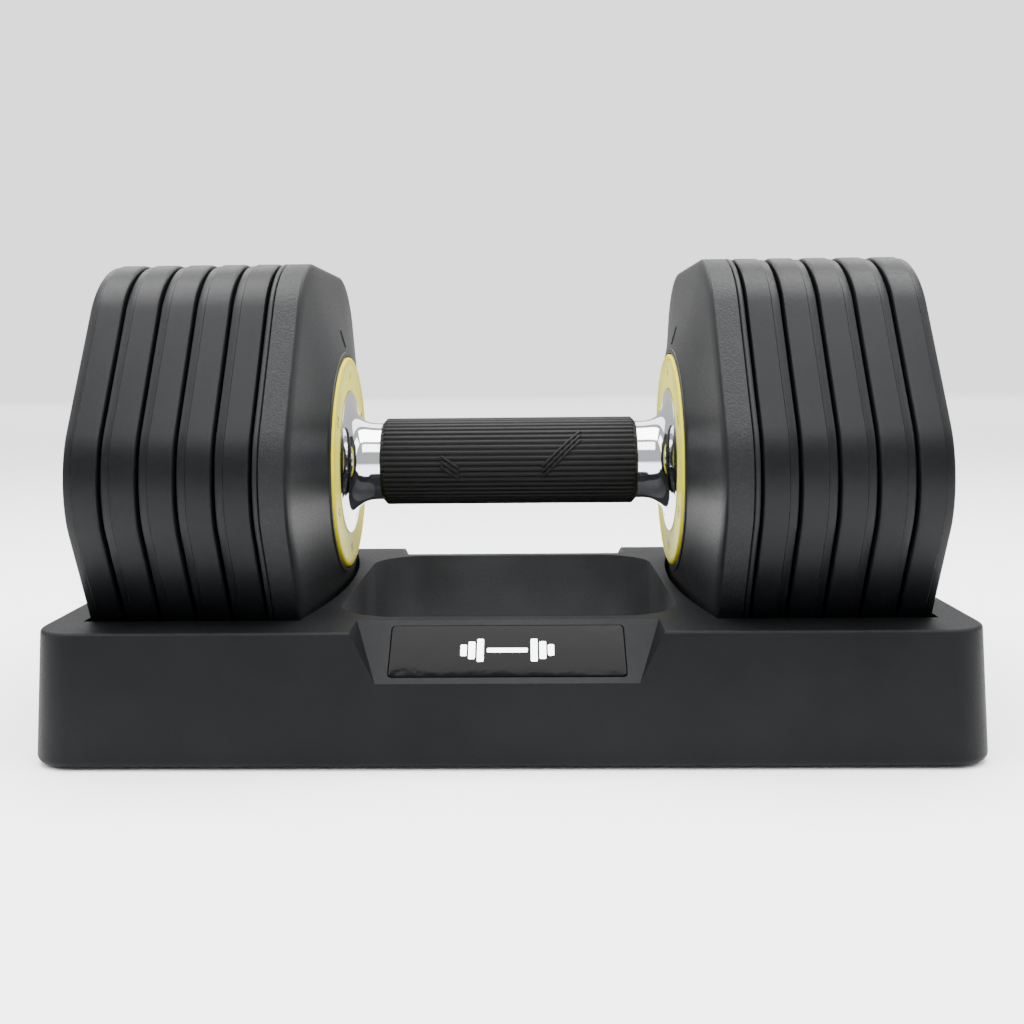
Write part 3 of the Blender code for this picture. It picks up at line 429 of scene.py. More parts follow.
def spun(profile: list[tuple[float, float]], steps: int) -> bmesh.types.BMesh:
    """Spin a closed profile of (x, radius) points round the handle's axis.

    Args:
        profile: The profile's points, in order.
        steps: How many steps the full turn takes.

    Returns:
        The ring.
    """
    shape = bmesh.new()
    points = [shape.verts.new((x, 0.0, AXIS_Z + radius)) for x, radius in profile]
    edges = [shape.edges.new(pair) for pair in zip(points, points[1:] + points[:1])]
    bmesh.ops.spin(shape, geom=points + edges, cent=(0, 0, AXIS_Z), axis=(1, 0, 0),
                   angle=math.tau, steps=steps, use_merge=True)
    bmesh.ops.remove_doubles(shape, verts=shape.verts, dist=1e-6)
    return shape


def mirrored(shape: bmesh.types.BMesh, side: Side) -> bmesh.types.BMesh:
    """Flip a right-hand shape over to the left where the side asks for it."""
    bmesh.ops.scale(shape, vec=(side.value, 1, 1), verts=shape.verts)
    return shape


def arc(centre: tuple[float, float], radius: float, start: float, end: float,
        steps: int) -> list[tuple[float, float]]:
    """Points along an arc in a profile.

    Args:
        centre: The arc's centre (x, radius).
        radius: The arc's own radius.
        start: First angle in degrees.
        end: Last angle in degrees.
        steps: Number of steps.

    Returns:
        The points, both ends included.
    """
    points = []
    for step in range(steps + 1):
        angle = math.radians(start + (end - start) * step / steps)
        points.append((centre[0] + radius * math.cos(angle), centre[1] + radius * math.sin(angle)))
    return points


def extruded(shape: bmesh.types.BMesh, face: bmesh.types.BMFace, keep: bool) -> bmesh.types.BMFace:
    """Extrude a face in place, ready for its new end to be moved.

    Args:
        shape: The mesh that holds it.
        face: The face.
        keep: Whether the old face stays, as the solid's first end.

    Returns:
        The face at the new end.
    """
    grown = bmesh.ops.extrude_face_region(shape, geom=[face], use_keep_orig=True)["geom"]
    if not keep:
        bmesh.ops.delete(shape, geom=[face], context="FACES_ONLY")
    return next(part for part in grown if isinstance(part, bmesh.types.BMFace))


@dataclass(frozen=True)
class Station:
    """One outline of a loft along the handle: its place, inset and roundness."""

    x: float
    inset: float = 0.0
    roundness: float = 0.0
    radius: float = 0.0


@dataclass(frozen=True)
class HexForm:
    """The rounded hexagon that heads and plates share, about the handle axis."""

    half_height: float = 0.0956
    half_depth: float = 0.1157
    half_flat: float = 0.0629
    corner_run: float = 0.0245
    corner_steps: int = 12
    flat_cuts: int = 9

    def outline(self, shape: bmesh.types.BMesh) -> bmesh.types.BMFace:
        """Make the rounded hexagon as one face in the plane across the handle."""
        corners = [(self.half_depth, 0), (self.half_flat, self.half_height),
                   (-self.half_flat, self.half_height), (-self.half_depth, 0),
                   (-self.half_flat, -self.half_height), (self.half_flat, -self.half_height)]
        points = [shape.verts.new((0.0, y, z)) for y, z in corners]
        shape.faces.new(points)
        bmesh.ops.bevel(shape, geom=points, affect="VERTICES", offset=self.corner_run,
                        segments=self.corner_steps, profile=0.5, material=-1)
        flats = [edge for edge in shape.edges if edge.calc_length() > self.corner_run]
        bmesh.ops.subdivide_edges(shape, edges=flats, cuts=self.flat_cuts)
        shape.faces.ensure_lookup_table()
        return shape.faces[0]

    def point(self, y: float, z: float, station: Station) -> Vector:
        """Place one point of the outline at a station.

        Args:
            y: The point's depth on the plain outline.
            z: Its height above the axis on the plain outline.
            station: The station.

        Returns:
            The point.
        """
        ratio = 1 - station.inset / self.half_height
        reach = math.hypot(y, z)
        share = station.roundness
        across = y * ratio * (1 - share) + y / reach * station.radius * share
        rise = z * ratio * (1 - share) + z / reach * station.radius * share
        return Vector((station.x, across, AXIS_Z + rise))

    def loft(self, stations: list[Station]) -> bmesh.types.BMesh:
        """Extrude the outline through its stations into a closed solid.

        Args:
            stations: The stations, from one end to the other.

        Returns:
            The solid.
        """
        shape = bmesh.new()
        face = self.outline(shape)
        plain = {vertex: (vertex.co.y, vertex.co.z) for vertex in face.verts}
        for vertex in face.verts:
            vertex.co = self.point(*plain[vertex], stations[0])
        for station in stations[1:]:
            before = {tuple(vertex.co): plain[vertex] for vertex in face.verts}
            face = extruded(shape, face, station is stations[1])
            plain = {vertex: before[tuple(vertex.co)] for vertex in face.verts}
            for vertex in face.verts:
                vertex.co = self.point(*plain[vertex], station)
        bmesh.ops.recalc_face_normals(shape, faces=shape.faces)
        return shape


HEX = HexForm()


def cylinder(x_low: float, x_high: float, radius: float, steps: int = 96) -> bmesh.types.BMesh:
    """Make a closed cylinder round the handle's axis between two places."""
    shape = bmesh.new()
    place = Matrix.Translation(((x_low + x_high) / 2, 0, AXIS_Z)) @ Matrix.Rotation(math.pi / 2, 4, "Y")
    bmesh.ops.create_cone(shape, cap_ends=True, segments=steps, radius1=radius, radius2=radius,
                          depth=x_high - x_low, matrix=place)
    return shape


def dovetail(x_low: float, x_high: float, halves: tuple[float, float], z_low: float,
             z_high: float) -> bmesh.types.BMesh:
    """Make an upright bar that is wider on its far side.

    Args:
        x_low: Its near side.
        x_high: Its far side.
        halves: Half its width on the near and on the far side.
        z_low: Its lower end above the ground.
        z_high: Its upper end above the ground.

    Returns:
        The bar.
    """
    shape = box_shape(Vector((x_low, -1, z_low)), Vector((x_high, 1, z_high)))
    for vertex in shape.verts:
        vertex.co.y *= halves[0] if vertex.co.x < (x_low + x_high) / 2 else halves[1]
    return shape


def mesh_shape(mesh: bpy.types.Mesh) -> bmesh.types.BMesh:
    """Start a shape from a mesh."""
    shape = bmesh.new()
    shape.from_mesh(mesh)
    return shape


def scratch(shape: bmesh.types.BMesh) -> bpy.types.Object:
    """Hold a shape in an object while it is cut."""
    bmesh.ops.recalc_face_normals(shape, faces=shape.faces)
    mesh = bpy.data.meshes.new("scratch")
    shape.to_mesh(mesh)
    shape.free()
    item = bpy.data.objects.new("scratch", mesh)
    bpy.context.scene.collection.objects.link(item)
    return item


def drop(item: bpy.types.Object) -> bmesh.types.BMesh:
    """Take a scratch object's shape and remove the object."""
    shape = mesh_shape(item.data)
    bpy.data.objects.remove(item, do_unlink=True)
    return shape


# ---------------------------------------------------------------- plates
@dataclass
class Plates:
    """Five hexagonal plates a side: moulded shells over steel cores."""

    finishes: Finishes
    count: int = 5
    thickness: float = 0.01464
    gap: float = 0.0010
    edge: float = 0.0012
    band: float = 0.0040
    band_step: float = 0.00045
    band_edge: float = 0.0018
    face_wall: float = 0.0035
    rim_wall: float = 0.0170
    bore: float = 0.0080
    boss: float = 0.0115
    groove_halves: tuple[float, float] = (0.01117, 0.01271)
    groove_depth: float = 0.0020

    def shell(self) -> bpy.types.Object:
        """Model the first right-hand shell."""
        start = node_low("plate_shell_right_1").x
        end = start + self.thickness
        band = end - self.band
        solid = HEX.loft([
            Station(start, self.edge), Station(start + 0.15 * self.edge, 0.6 * self.edge),
            Station(start + 0.45 * self.edge, 0.25 * self.edge), Station(start + self.edge, 0.03 * self.edge),
            Station(start + 1.4 * self.edge, 0.0), Station(band - 0.0002, 0.0),
            Station(band + 0.0002, self.band_step), Station(end - 0.0012, 0.7 * self.band_step + 0.0004),
            Station(end - 0.0004, 0.6 * self.band_edge), Station(end, self.band_edge)])
        item = scratch(solid)
        pocket = HEX.loft([Station(start + self.face_wall, self.rim_wall),
                           Station(end + self.edge, self.rim_wall)])
        seat = scratch(pocket)
        carve(seat, cylinder(start, end + 2 * self.edge, self.boss))
        carve(item, drop(seat))
        carve(item, cylinder(start - self.edge, end + self.edge, self.bore, 64))
        carve(item, dovetail(start - self.gap, start + self.groove_depth, self.groove_halves,
                             AXIS_Z - 0.1, AXIS_Z + 0.1))
        return item

    def build(self) -> None:
        """Model one shell and set a copy at each plate's place."""
        first = self.shell()
        for side in Side:
            for number in range(1, self.count + 1):
                node = f"plate_shell_{side.word}_{number}"
                shape = mesh_shape(first.data)
                mirrored(shape, side)
                shift = node_low(node).x - min(vertex.co.x for vertex in shape.verts)
                bmesh.ops.translate(shape, vec=(shift, 0, 0), verts=shape.verts)
                to_piece(f"plate_{side.word}_{number}", shape, self.finishes.plate,
                         f"plate_{side.word}_{number}", (node,), 28)
        bpy.data.objects.remove(first, do_unlink=True)


# ---------------------------------------------------------------- heads
@dataclass
class Head:
    """One moulded head: grained rim, rounded shoulder, cone and dial recess."""

    side: Side
    finishes: Finishes
    face_radius: float = 0.0552
    face_edge: float = 0.0006
    shoulder: tuple[tuple[float, float], ...] = (
        (0.0013, 0.0020), (0.0009, 0.0011), (0.0005, 0.0005), (0.0002, 0.0001))
    cone_length: float = 0.0102
    sag: float = 0.0009
    cone_steps: int = 8
    recess_radius: float = 0.0529
    recess_depth: float = 0.0059
    seat_radius: float = 0.0206
    seat_end: float = 0.0923
    rim_wall: float = 0.0200
    parting: float = 0.00035
    channel_runs: tuple[float, float] = (0.0040, 0.0013)
    channel_top: float = 0.0212
    tooth_half: float = 0.0033
    tooth_rises: tuple[float, float] = (-0.0478, -0.0382)
    click_half: float = 0.0163
    click_rises: tuple[float, float] = (0.0442, 0.0498)
    click_depth: float = 0.0018
    pointer_half: float = 0.0007
    pointer_rises: tuple[float, float] = (0.0572, 0.0660)

    def stations(self) -> list[Station]:
        """Outlines from the dial's face out to the cover's parting line."""
        face_x = node_low("head_shell_right").x
        end_x = node_high("head_shell_right").x
        rim_x = face_x + self.cone_length
        found = [Station(face_x, 0, 1, self.face_radius - self.face_edge),
                 Station(face_x + 0.3 * self.face_edge, 0, 1, self.face_radius - 0.3 * self.face_edge),
                 Station(face_x + self.face_edge, 0, 1, self.face_radius)]
        back, inset = self.shoulder[0]
        low_x = face_x + self.face_edge
        high_x = rim_x - back
        for step in range(1, self.cone_steps):
            share = step / self.cone_steps
            dip = self.sag * math.sin(math.pi * share)
            found.append(Station(low_x + (high_x - low_x) * share + dip, inset, 1 - share, self.face_radius))
        found += [Station(rim_x - run, drawn) for run, drawn in self.shoulder]
        found += [Station(rim_x, 0.0), Station(end_x - self.parting, 0.0), Station(end_x, self.parting)]
        return found

    def cone_point(self, rise: float) -> Vector:
        """Point of the cone's surface straight above the axis.

        Args:
            rise: The point's height above the axis.

        Returns:
            The point.
        """
        back, inset = self.shoulder[0]
        low_x = node_low("head_shell_right").x + self.face_edge
        run = self.cone_length - back - self.face_edge
        share = (rise - self.face_radius) / (HEX.half_height - inset - self.face_radius)
        return Vector((low_x + run * share + self.sag * math.sin(math.pi * share), 0, AXIS_Z + rise))

    def build_shell(self) -> None:
        """Model the shell with its recess, bush seat and core seat."""
        face_x = node_low("head_shell_right").x
        end_x = node_high("head_shell_right").x
        rim_x = face_x + self.cone_length
        item = scratch(HEX.loft(self.stations()))
        floor_x = face_x + self.recess_depth
        carve(item, cylinder(face_x - 0.01, floor_x, self.recess_radius, 128))
        carve(item, cylinder(floor_x - 0.001, self.seat_end + 0.001, self.seat_radius))
        carve(item, HEX.loft([Station(self.seat_end, self.rim_wall), Station(end_x + 0.002, self.rim_wall)]))
        slider = node_low("lock_slider_right")
        tip = node_high("lock_slider_right")
        inner, outer = self.channel_runs
        carve(item, box_shape(Vector((tip.x - inner, slider.y - FIT, 0.0)),
                              Vector((tip.x + outer, tip.y + FIT, AXIS_Z - self.channel_top))))
        low, high = self.tooth_rises
        carve(item, box_shape(Vector((floor_x - OVERCUT, -self.tooth_half, AXIS_Z + low)),
                              Vector((tip.x, self.tooth_half, AXIS_Z + high))))
        low, high = self.click_rises
        carve(item, box_shape(Vector((floor_x - OVERCUT, -self.click_half, AXIS_Z + low)),
                              Vector((floor_x + self.click_depth, self.click_half, AXIS_Z + high))))
        shape = mirrored(drop(item), self.side)
        piece = to_piece(f"head_{self.side.word}", shape, self.finishes.cone, "frame",
                         (f"head_shell_{self.side.word}",), 32)
        piece.data.materials.append(self.finishes.band)
        for polygon in piece.data.polygons:
            distance = abs(polygon.center.x)
            rise = polygon.center.z - AXIS_Z
            outside = math.hypot(polygon.center.y, rise) > 0.085
            if distance > rim_x - 0.0001 and outside:
                polygon.material_index = 1

    def build_cover(self) -> None:
        """Model the outer cover, whose edge shows as a thin band."""
        low = node_low("head_cover_right").x
        face = node_low("plate_shell_right_1").x - 0.0010
        item = scratch(HEX.loft([Station(low, self.parting), Station(low + self.parting, 0.0),
                                 Station(face - 0.0009, 0.0), Station(face - 0.0003, 0.0004),
                                 Station(face, 0.0010)]))
        carve(item, dovetail(face - 0.0005, face + 0.0026, (0.0096, 0.0120),
                             AXIS_Z - 0.0700, AXIS_Z - 0.0260), "UNION")
        carve(item, cylinder(low - 0.001, face + 0.001, 0.0080, 64))
        shape = mirrored(drop(item), self.side)
        to_piece(f"cover_{self.side.word}", shape, self.finishes.cover, "frame",
                 (f"head_cover_{self.side.word}",), 28)

    def build_pointer(self) -> None:
        """Inlay the short black pointer that marks the setting, above the dial."""
        shape = bmesh.new()
        low, high = (self.cone_point(rise) for rise in self.pointer_rises)
        run = high - low
        tilt = math.atan2(run.x, run.z)
        place = Matrix.Translation((low + high) / 2) @ Matrix.Rotation(tilt, 4, "Y")
        size = Matrix.Diagonal((0.0008, 2 * self.pointer_half, run.length, 1))
        bmesh.ops.create_cube(shape, size=1.0, matrix=place @ size)
        bmesh.ops.bevel(shape, geom=shape.edges, affect="EDGES", offset=0.00025, segments=3,
                        profile=0.5, material=-1)
        to_piece(f"pointer_{self.side.word}", mirrored(shape, self.side), self.finishes.slit, "frame")

    def build(self) -> None:
        """Build the head's pieces."""
        self.build_shell()
        self.build_cover()
        self.build_pointer()


# ---------------------------------------------------------------- handle
@dataclass
class Collar:
    """Chromed trumpet collar with its flange, lock groove and notches."""

    side: Side
    finishes: Finishes
    neck_radius: float = 0.0191
    flare_radius: float = 0.0353
    bore: float = 0.0163
    groove: tuple[float, float, float] = (0.0370, 0.0440, 0.0015)
    notch_width: float = 0.0072
    settings: int = 6
    neck_share: float = 0.62
    flare_steps: int = 28
    steps: int = 160

    def build(self) -> None:
        """Turn the collar and cut its notches."""
        neck_x = node_low("collar_right").x
        back_x = node_high("collar_right").x
        rim = node_high("collar_right").y
        face_x = node_low("dial_ring_right").x
        flange_x = node_high("dial_ring_right").x + 0.0003
        inner, outer, depth = self.groove
        profile = [(neck_x, self.bore)]
        for step in range(self.flare_steps + 1):
            angle = math.pi / 2 * step / self.flare_steps
            profile.append((neck_x + (face_x - neck_x) * math.sin(angle) ** self.neck_share,
                            self.flare_radius - (self.flare_radius - self.neck_radius) * math.cos(angle)))
        profile += [(flange_x, self.flare_radius), (flange_x, rim), (back_x, rim), (back_x, outer),
                    (back_x - depth, outer), (back_x - depth, inner), (back_x, inner), (back_x, self.bore)]
        item = scratch(spun(profile, self.steps))
        for setting in range(self.settings):
            notch = box_shape(Vector((back_x - depth, -self.notch_width / 2, AXIS_Z + outer - 0.002)),
                              Vector((back_x + 0.002, self.notch_width / 2, AXIS_Z + rim + 0.002)))
            bmesh.ops.rotate(notch, cent=(0, 0, AXIS_Z), verts=notch.verts,
                             matrix=Matrix.Rotation(math.tau * setting / self.settings, 3, "X"))
            carve(item, notch)
        to_piece(f"collar_chrome_{self.side.word}", mirrored(drop(item), self.side), self.finishes.chrome,
                 "handle", (f"collar_{self.side.word}",), 38)


@dataclass
class DialRing:
    """Enamelled setting ring with a raised yellow rim and printed numerals."""

    side: Side
    finishes: Finishes
    weights: tuple[str, ...] = ("4", "8", "12", "16", "20", "24")
    inner: float = 0.0356
    edge: float = 0.0012
    rim_width: float = 0.0030
    rim_step: float = 0.0003
    numeral_height: float = 0.0062
    numeral_radius: float = 0.0428
    ink_height: float = 0.00004
    steps: int = 160

    def build_ring(self) -> None:
        """Turn the ring, its face a little below the rim."""
        face_x = node_low("dial_ring_right").x
        back_x = node_high("dial_ring_right").x
        outer = node_high("dial_ring_right").z - AXIS_Z
        sunk_x = face_x + self.rim_step
        start = outer - self.rim_width
        profile = [(sunk_x + 0.0004, self.inner), (sunk_x, self.inner + 0.0004), (sunk_x, start - 0.0004),
                   (face_x + 0.00008, start - 0.00008), (face_x, start + 0.0003)]
        profile += [(x, r) for x, r in arc((face_x + self.edge, outer - self.edge), self.edge, 180, 90, 8)]
        profile += [(back_x - 0.0004, outer), (back_x, outer - 0.0004), (back_x, self.inner)]
        piece = to_piece(f"dial_{self.side.word}", mirrored(spun(profile, self.steps), self.side),
                         self.finishes.dial_face, "handle",
                         (f"dial_ring_{self.side.word}",), 40)
        piece.data.materials.append(self.finishes.dial_rim)
        for polygon in piece.data.polygons:
            reach = math.hypot(polygon.center.y, polygon.center.z - AXIS_Z)
            if reach > start - 0.0003:
                polygon.material_index = 1

    def build_numerals(self) -> None:
        """Print the weights, one for each sixth of a turn."""
        face_x = node_low("dial_ring_right").x + self.rim_step
        shape = bmesh.new()
        for number, weight in enumerate(self.weights):
            words = bpy.data.curves.new("numeral", "FONT")
            words.body = weight
            words.size = self.numeral_height
            words.align_x = "CENTER"
            words.align_y = "CENTER"
            words.extrude = self.ink_height
            words.resolution_u = 3
            item = bpy.data.objects.new("numeral", words)
            bpy.context.scene.collection.objects.link(item)
            bpy.context.view_layer.update()
            mesh = bpy.data.meshes.new_from_object(item.evaluated_get(bpy.context.evaluated_depsgraph_get()))
            bpy.data.objects.remove(item, do_unlink=True)
            turn = Matrix.Rotation(-math.tau * number / len(self.weights), 4, "X")
            facing = Matrix(((0, 0, -self.side.value, 0), (-self.side.value, 0, 0, 0),
                             (0, 1, 0, 0), (0, 0, 0, 1)))
            rise = Matrix.Translation((self.side.value * face_x, 0, self.numeral_radius))
            mesh.transform(Matrix.Translation((0, 0, AXIS_Z)) @ turn @ rise @ facing)
            shape.from_mesh(mesh)
        to_piece(f"numerals_{self.side.word}", shape, self.finishes.ink, "handle")

    def build(self) -> None:
        """Build the ring and its numerals."""
        self.build_ring()
        self.build_numerals()


@dataclass
class Grip:
    """Rubber grip with fine lengthwise ribs and two sets of slanting ridges."""

    finishes: Finishes
    ribs: int = 48
    rib_depth: float = 0.0008
    rib_shape: tuple[float, ...] = (0.0, 0.0, 0.1, 0.8, 1.0, 0.8, 0.1, 0.0)
    edge: float = 0.0020
    bore: float = 0.0163
    ridge_radius: float = 0.0008
    ridge_gap_degrees: float = 7.0
    ridge_steps: int = 24
    ridge_tail: float = 0.0010
    ridge_sets: tuple[tuple[tuple[float, float], tuple[float, float]], ...] = (
        ((0.0165, -10.0), (0.0350, 38.0)), ((-0.0325, 3.0), (-0.0245, -12.0)))

    def build_sleeve(self) -> None:
        """Extrude the ribbed outline from end to end."""
        half = node_high("grip_sleeve").x
        radius = node_high("grip_sleeve").y
        shape = bmesh.new()
        place = Matrix.Translation((-half, 0, AXIS_Z)) @ Matrix.Rotation(math.pi / 2, 4, "Y")
        points = bmesh.ops.create_circle(shape, cap_ends=True, segments=self.ribs * len(self.rib_shape),
                                         radius=1.0, matrix=place)["verts"]
        depths = {}
        for index, vertex in enumerate(points):
            place_on_rim = (round(vertex.co.y, 6), round(vertex.co.z, 6))
            depths[place_on_rim] = self.rib_shape[index % len(self.rib_shape)]
        stations = [(-half, -self.edge, 0.0), (-half + 0.9 * self.edge, -0.0001, 0.8),
                    (-half + 1.1 * self.edge, 0.0, 1.0)]
        stations += [(-x, inset, share) for x, inset, share in reversed(stations)]
        faces = list(shape.faces)
        base = faces[0]
        plain = {vertex: (vertex.co.y, vertex.co.z - AXIS_Z) for vertex in base.verts}
        shares = {vertex: depths[(round(vertex.co.y, 6), round(vertex.co.z, 6))] for vertex in base.verts}
        for number, (x, inset, share) in enumerate(stations):
            if number:
                before = {tuple(vertex.co): (plain[vertex], shares[vertex]) for vertex in base.verts}
                base = extruded(shape, base, number == 1)
                plain = {vertex: before[tuple(vertex.co)][0] for vertex in base.verts}
                shares = {vertex: before[tuple(vertex.co)][1] for vertex in base.verts}
            for vertex in base.verts:
                reach = radius + inset - self.rib_depth * shares[vertex] * share
                y, z = plain[vertex]
                vertex.co = (x, y * reach, AXIS_Z + z * reach)
        item = scratch(shape)
        carve(item, cylinder(-half - 0.001, half + 0.001, self.bore))
        to_piece("grip", drop(item), self.finishes.rubber, "handle", ("grip_sleeve",), 60)

    def ridge(self, start: tuple[float, float], end: tuple[float, float], tail: float) -> bmesh.types.BMesh:
        """Sweep one ridge over the sleeve, slanting between two ribs.

        Args:
            start: First place along the handle and angle up from the front, in degrees.
            end: Last place and angle.
            tail: How far each end runs on along its rib.

        Returns:
            The ridge.
        """
        reach = node_high("grip_sleeve").y - 0.55 * self.ridge_radius
        places = [(start[0] - tail, start[1])]
        for step in range(self.ridge_steps + 1):
            share = step / self.ridge_steps
            places.append((start[0] + (end[0] - start[0]) * share, start[1] + (end[1] - start[1]) * share))
        places.append((end[0] + tail, end[1]))
        path = bpy.data.curves.new("ridge", "CURVE")
        path.dimensions = "3D"
        path.bevel_depth = self.ridge_radius
        path.bevel_resolution = 3
        path.use_fill_caps = True
        line = path.splines.new("POLY")
        line.points.add(len(places) - 1)
        for point, (x, degrees) in zip(line.points, places):
            angle = math.radians(degrees)
            point.co = (x, -reach * math.cos(angle), AXIS_Z + reach * math.sin(angle), 1)
            point.radius = 1.0
        line.points[0].radius = 0.3
        line.points[-1].radius = 0.3
        item = bpy.data.objects.new("ridge", path)
        bpy.context.scene.collection.objects.link(item)
        bpy.context.view_layer.update()
        mesh = bpy.data.meshes.new_from_object(item.evaluated_get(bpy.context.evaluated_depsgraph_get()))
        bpy.data.objects.remove(item, do_unlink=True)
        return mesh_shape(mesh)

    def build_ridges(self) -> None:
        """Lay both sets of ridges on the sleeve."""
        shape = bmesh.new()
        for number in range(3):
            lift = (number - 1) * self.ridge_gap_degrees
            for start, end in self.ridge_sets:
                part = self.ridge((start[0], start[1] + lift), (end[0], end[1] + lift), self.ridge_tail)
                mesh = bpy.data.meshes.new("ridge")
                part.to_mesh(mesh)
                part.free()
                shape.from_mesh(mesh)
        to_piece("grip_ridges", shape, self.finishes.rubber, "handle", (), 60)

    def build(self) -> None:
        """Build the sleeve and its ridges."""
        self.build_sleeve()
        self.build_ridges()


# ---------------------------------------------------------------- rods
@dataclass
class LockRod:
    """Ground steel rod with a chamfered nose, and its cross bore."""

    side: Side
    finishes: Finishes
    radius: float = 0.0072
    chamfer: float = 0.0010
    pin_x: float = 0.0095
    pin_bore: float = 0.0023

    def build(self) -> None:
        """Turn the rod and bore it for the pin."""
        low = node_low("lock_rod_right").x
        high = node_high("lock_rod_right").x
        rim = self.radius - self.chamfer
        profile = [(low, 0.0), (low, rim), (low + self.chamfer, self.radius),
                   (high - self.chamfer, self.radius), (high, rim), (high, 0.0)]
        item = scratch(spun(profile, 64))
        tool = bmesh.new()
        bmesh.ops.create_cone(tool, cap_ends=True, segments=32, radius1=self.pin_bore, radius2=self.pin_bore,
                              depth=0.03, matrix=Matrix.Translation((self.pin_x, 0, AXIS_Z)))
        carve(item, tool)
        to_piece(f"rod_{self.side.word}", mirrored(drop(item), self.side), self.finishes.steel,
                 f"lock_rod_{self.side.word}", (f"lock_rod_{self.side.word}",), 30)


# ---------------------------------------------------------------- tray
@dataclass
class Tray:
    """Moulded tray with two stack pockets, a hand recess and two notches."""

    finishes: Finishes
    draft_x: float = 0.0012
    draft_y: float = 0.0030
    corner: float = 0.0180
    corner_steps: int = 14
    pocket_start: float = 0.0792
    pocket_face: float = 0.0565
    pocket_rim: float = 0.0890
    pocket_end: float = 0.1827
    pocket_clearance: float = 0.0004
    mouth_half: float = 0.0850
    mouth_foot_half: float = 0.0775
    mouth_depth: float = 0.0100
    recess_half: tuple[float, float] = (0.0760, 0.0790)
    recess_corner: float = 0.0270
    recess_floor: float = 0.0150
    recess_draft: tuple[float, float] = (0.0015, 0.0080)
    notch_top_y: float = 0.0850
    notch_foot_z: float = 0.0354
    notch_top_half: float = 0.0645
    notch_foot_half: float = 0.0540
    notch_fillet: float = 0.0045
    top_edge: float = 0.0018
    low_edge: float = 0.0030
    floor_fillet: float = 0.0030
    pan_corner: float = 0.0148
    post_thickness: float = 0.0028
    post_half: float = 0.0037
    post_foot: float = 0.0195
    badge_half: tuple[float, float] = (0.0490, 0.0125)
    badge_corner: float = 0.0018
    badge_thickness: float = 0.0016
    badge_proud: float = 0.0004
    sign_bar: tuple[float, float, float] = (0.0, 0.0085, 0.0011)
    sign_weights: tuple[tuple[float, float, float], ...] = (
        (0.0112, 0.0014, 0.0056), (0.0148, 0.0014, 0.0043), (0.0182, 0.0013, 0.0028))
    sign_thickness: float = 0.0002
    sign_corner: float = 0.0006

    @property
    def top(self) -> float:
        """Height of the tray's top edge."""
        return node_high("tray_shell").z

    def wall_y(self, z: float) -> float:
        """Half depth of the tray's outside at a height."""
        return node_high("tray_shell").y - self.draft_y * z / self.top

    def block(self) -> bmesh.types.BMesh:
        """Model the outside: round corners, soft edges and draft."""
        low, high = node_low("tray_shell"), node_high("tray_shell")
        shape = box_shape(low, high)
        upright = [edge for edge in shape.edges if abs(edge.verts[0].co.z - edge.verts[1].co.z) > 0.01]
        bmesh.ops.bevel(shape, geom=upright, affect="EDGES", offset=self.corner,
                        segments=self.corner_steps, profile=0.5, material=-1)
        top_edges = [edge for edge in shape.edges if min(v.co.z for v in edge.verts) > high.z - 1e-5]
        bmesh.ops.bevel(shape, geom=top_edges, affect="EDGES", offset=self.top_edge, segments=4,
                        profile=0.5, material=-1)
        low_edges = [edge for edge in shape.edges if max(v.co.z for v in edge.verts) < low.z + 1e-5]
        bmesh.ops.bevel(shape, geom=low_edges, affect="EDGES", offset=self.low_edge, segments=4,
                        profile=0.5, material=-1)
        for vertex in shape.verts:
            share = vertex.co.z / high.z
            vertex.co.x *= 1 - self.draft_x * share / high.x
            vertex.co.y *= 1 - self.draft_y * share / high.y
        return shape

    def pocket(self) -> bmesh.types.BMesh:
        """Space for the right-hand stack and its head."""
        low_x, high_x = self.pocket_rim, self.pocket_end
        item = scratch(HEX.loft([Station(self.pocket_start, 0.0, 1.0, self.pocket_face),
                                 Station(low_x, -self.pocket_clearance),
                                 Station(high_x, -self.pocket_clearance)]))
        foot_z = self.top - self.mouth_depth
        mouth = box_shape(Vector((low_x, -1, foot_z)), Vector((high_x, 1, self.top + OVERCUT)))
        slope = (self.mouth_half - self.mouth_foot_half) / self.mouth_depth
        for vertex in mouth.verts:
            vertex.co.y *= self.mouth_foot_half + slope * (vertex.co.z - foot_z)
        carve(item, mouth, "UNION")
        return drop(item)

    def recess(self) -> bmesh.types.BMesh:
        """Space for the hand under the grip."""
        half_x, half_y = self.recess_half
        shape = box_shape(Vector((-half_x, -half_y, self.recess_floor)),
                          Vector((half_x, half_y, self.top + OVERCUT)))
        upright = [edge for edge in shape.edges if abs(edge.verts[0].co.z - edge.verts[1].co.z) > 0.01]
        bmesh.ops.bevel(shape, geom=upright, affect="EDGES", offset=self.recess_corner,
                        segments=16, profile=0.5, material=-1)
        floor = [edge for edge in shape.edges if max(v.co.z for v in edge.verts) < self.recess_floor + 1e-5]
        bmesh.ops.bevel(shape, geom=floor, affect="EDGES", offset=self.floor_fillet, segments=4,
                        profile=0.5, material=-1)
        for vertex in shape.verts:
            share = max(0.0, (self.top - vertex.co.z) / (self.top - self.recess_floor))
            vertex.co.x *= 1 - self.recess_draft[0] * share / half_x
            vertex.co.y *= 1 - self.recess_draft[1] * share / half_y
        return shape

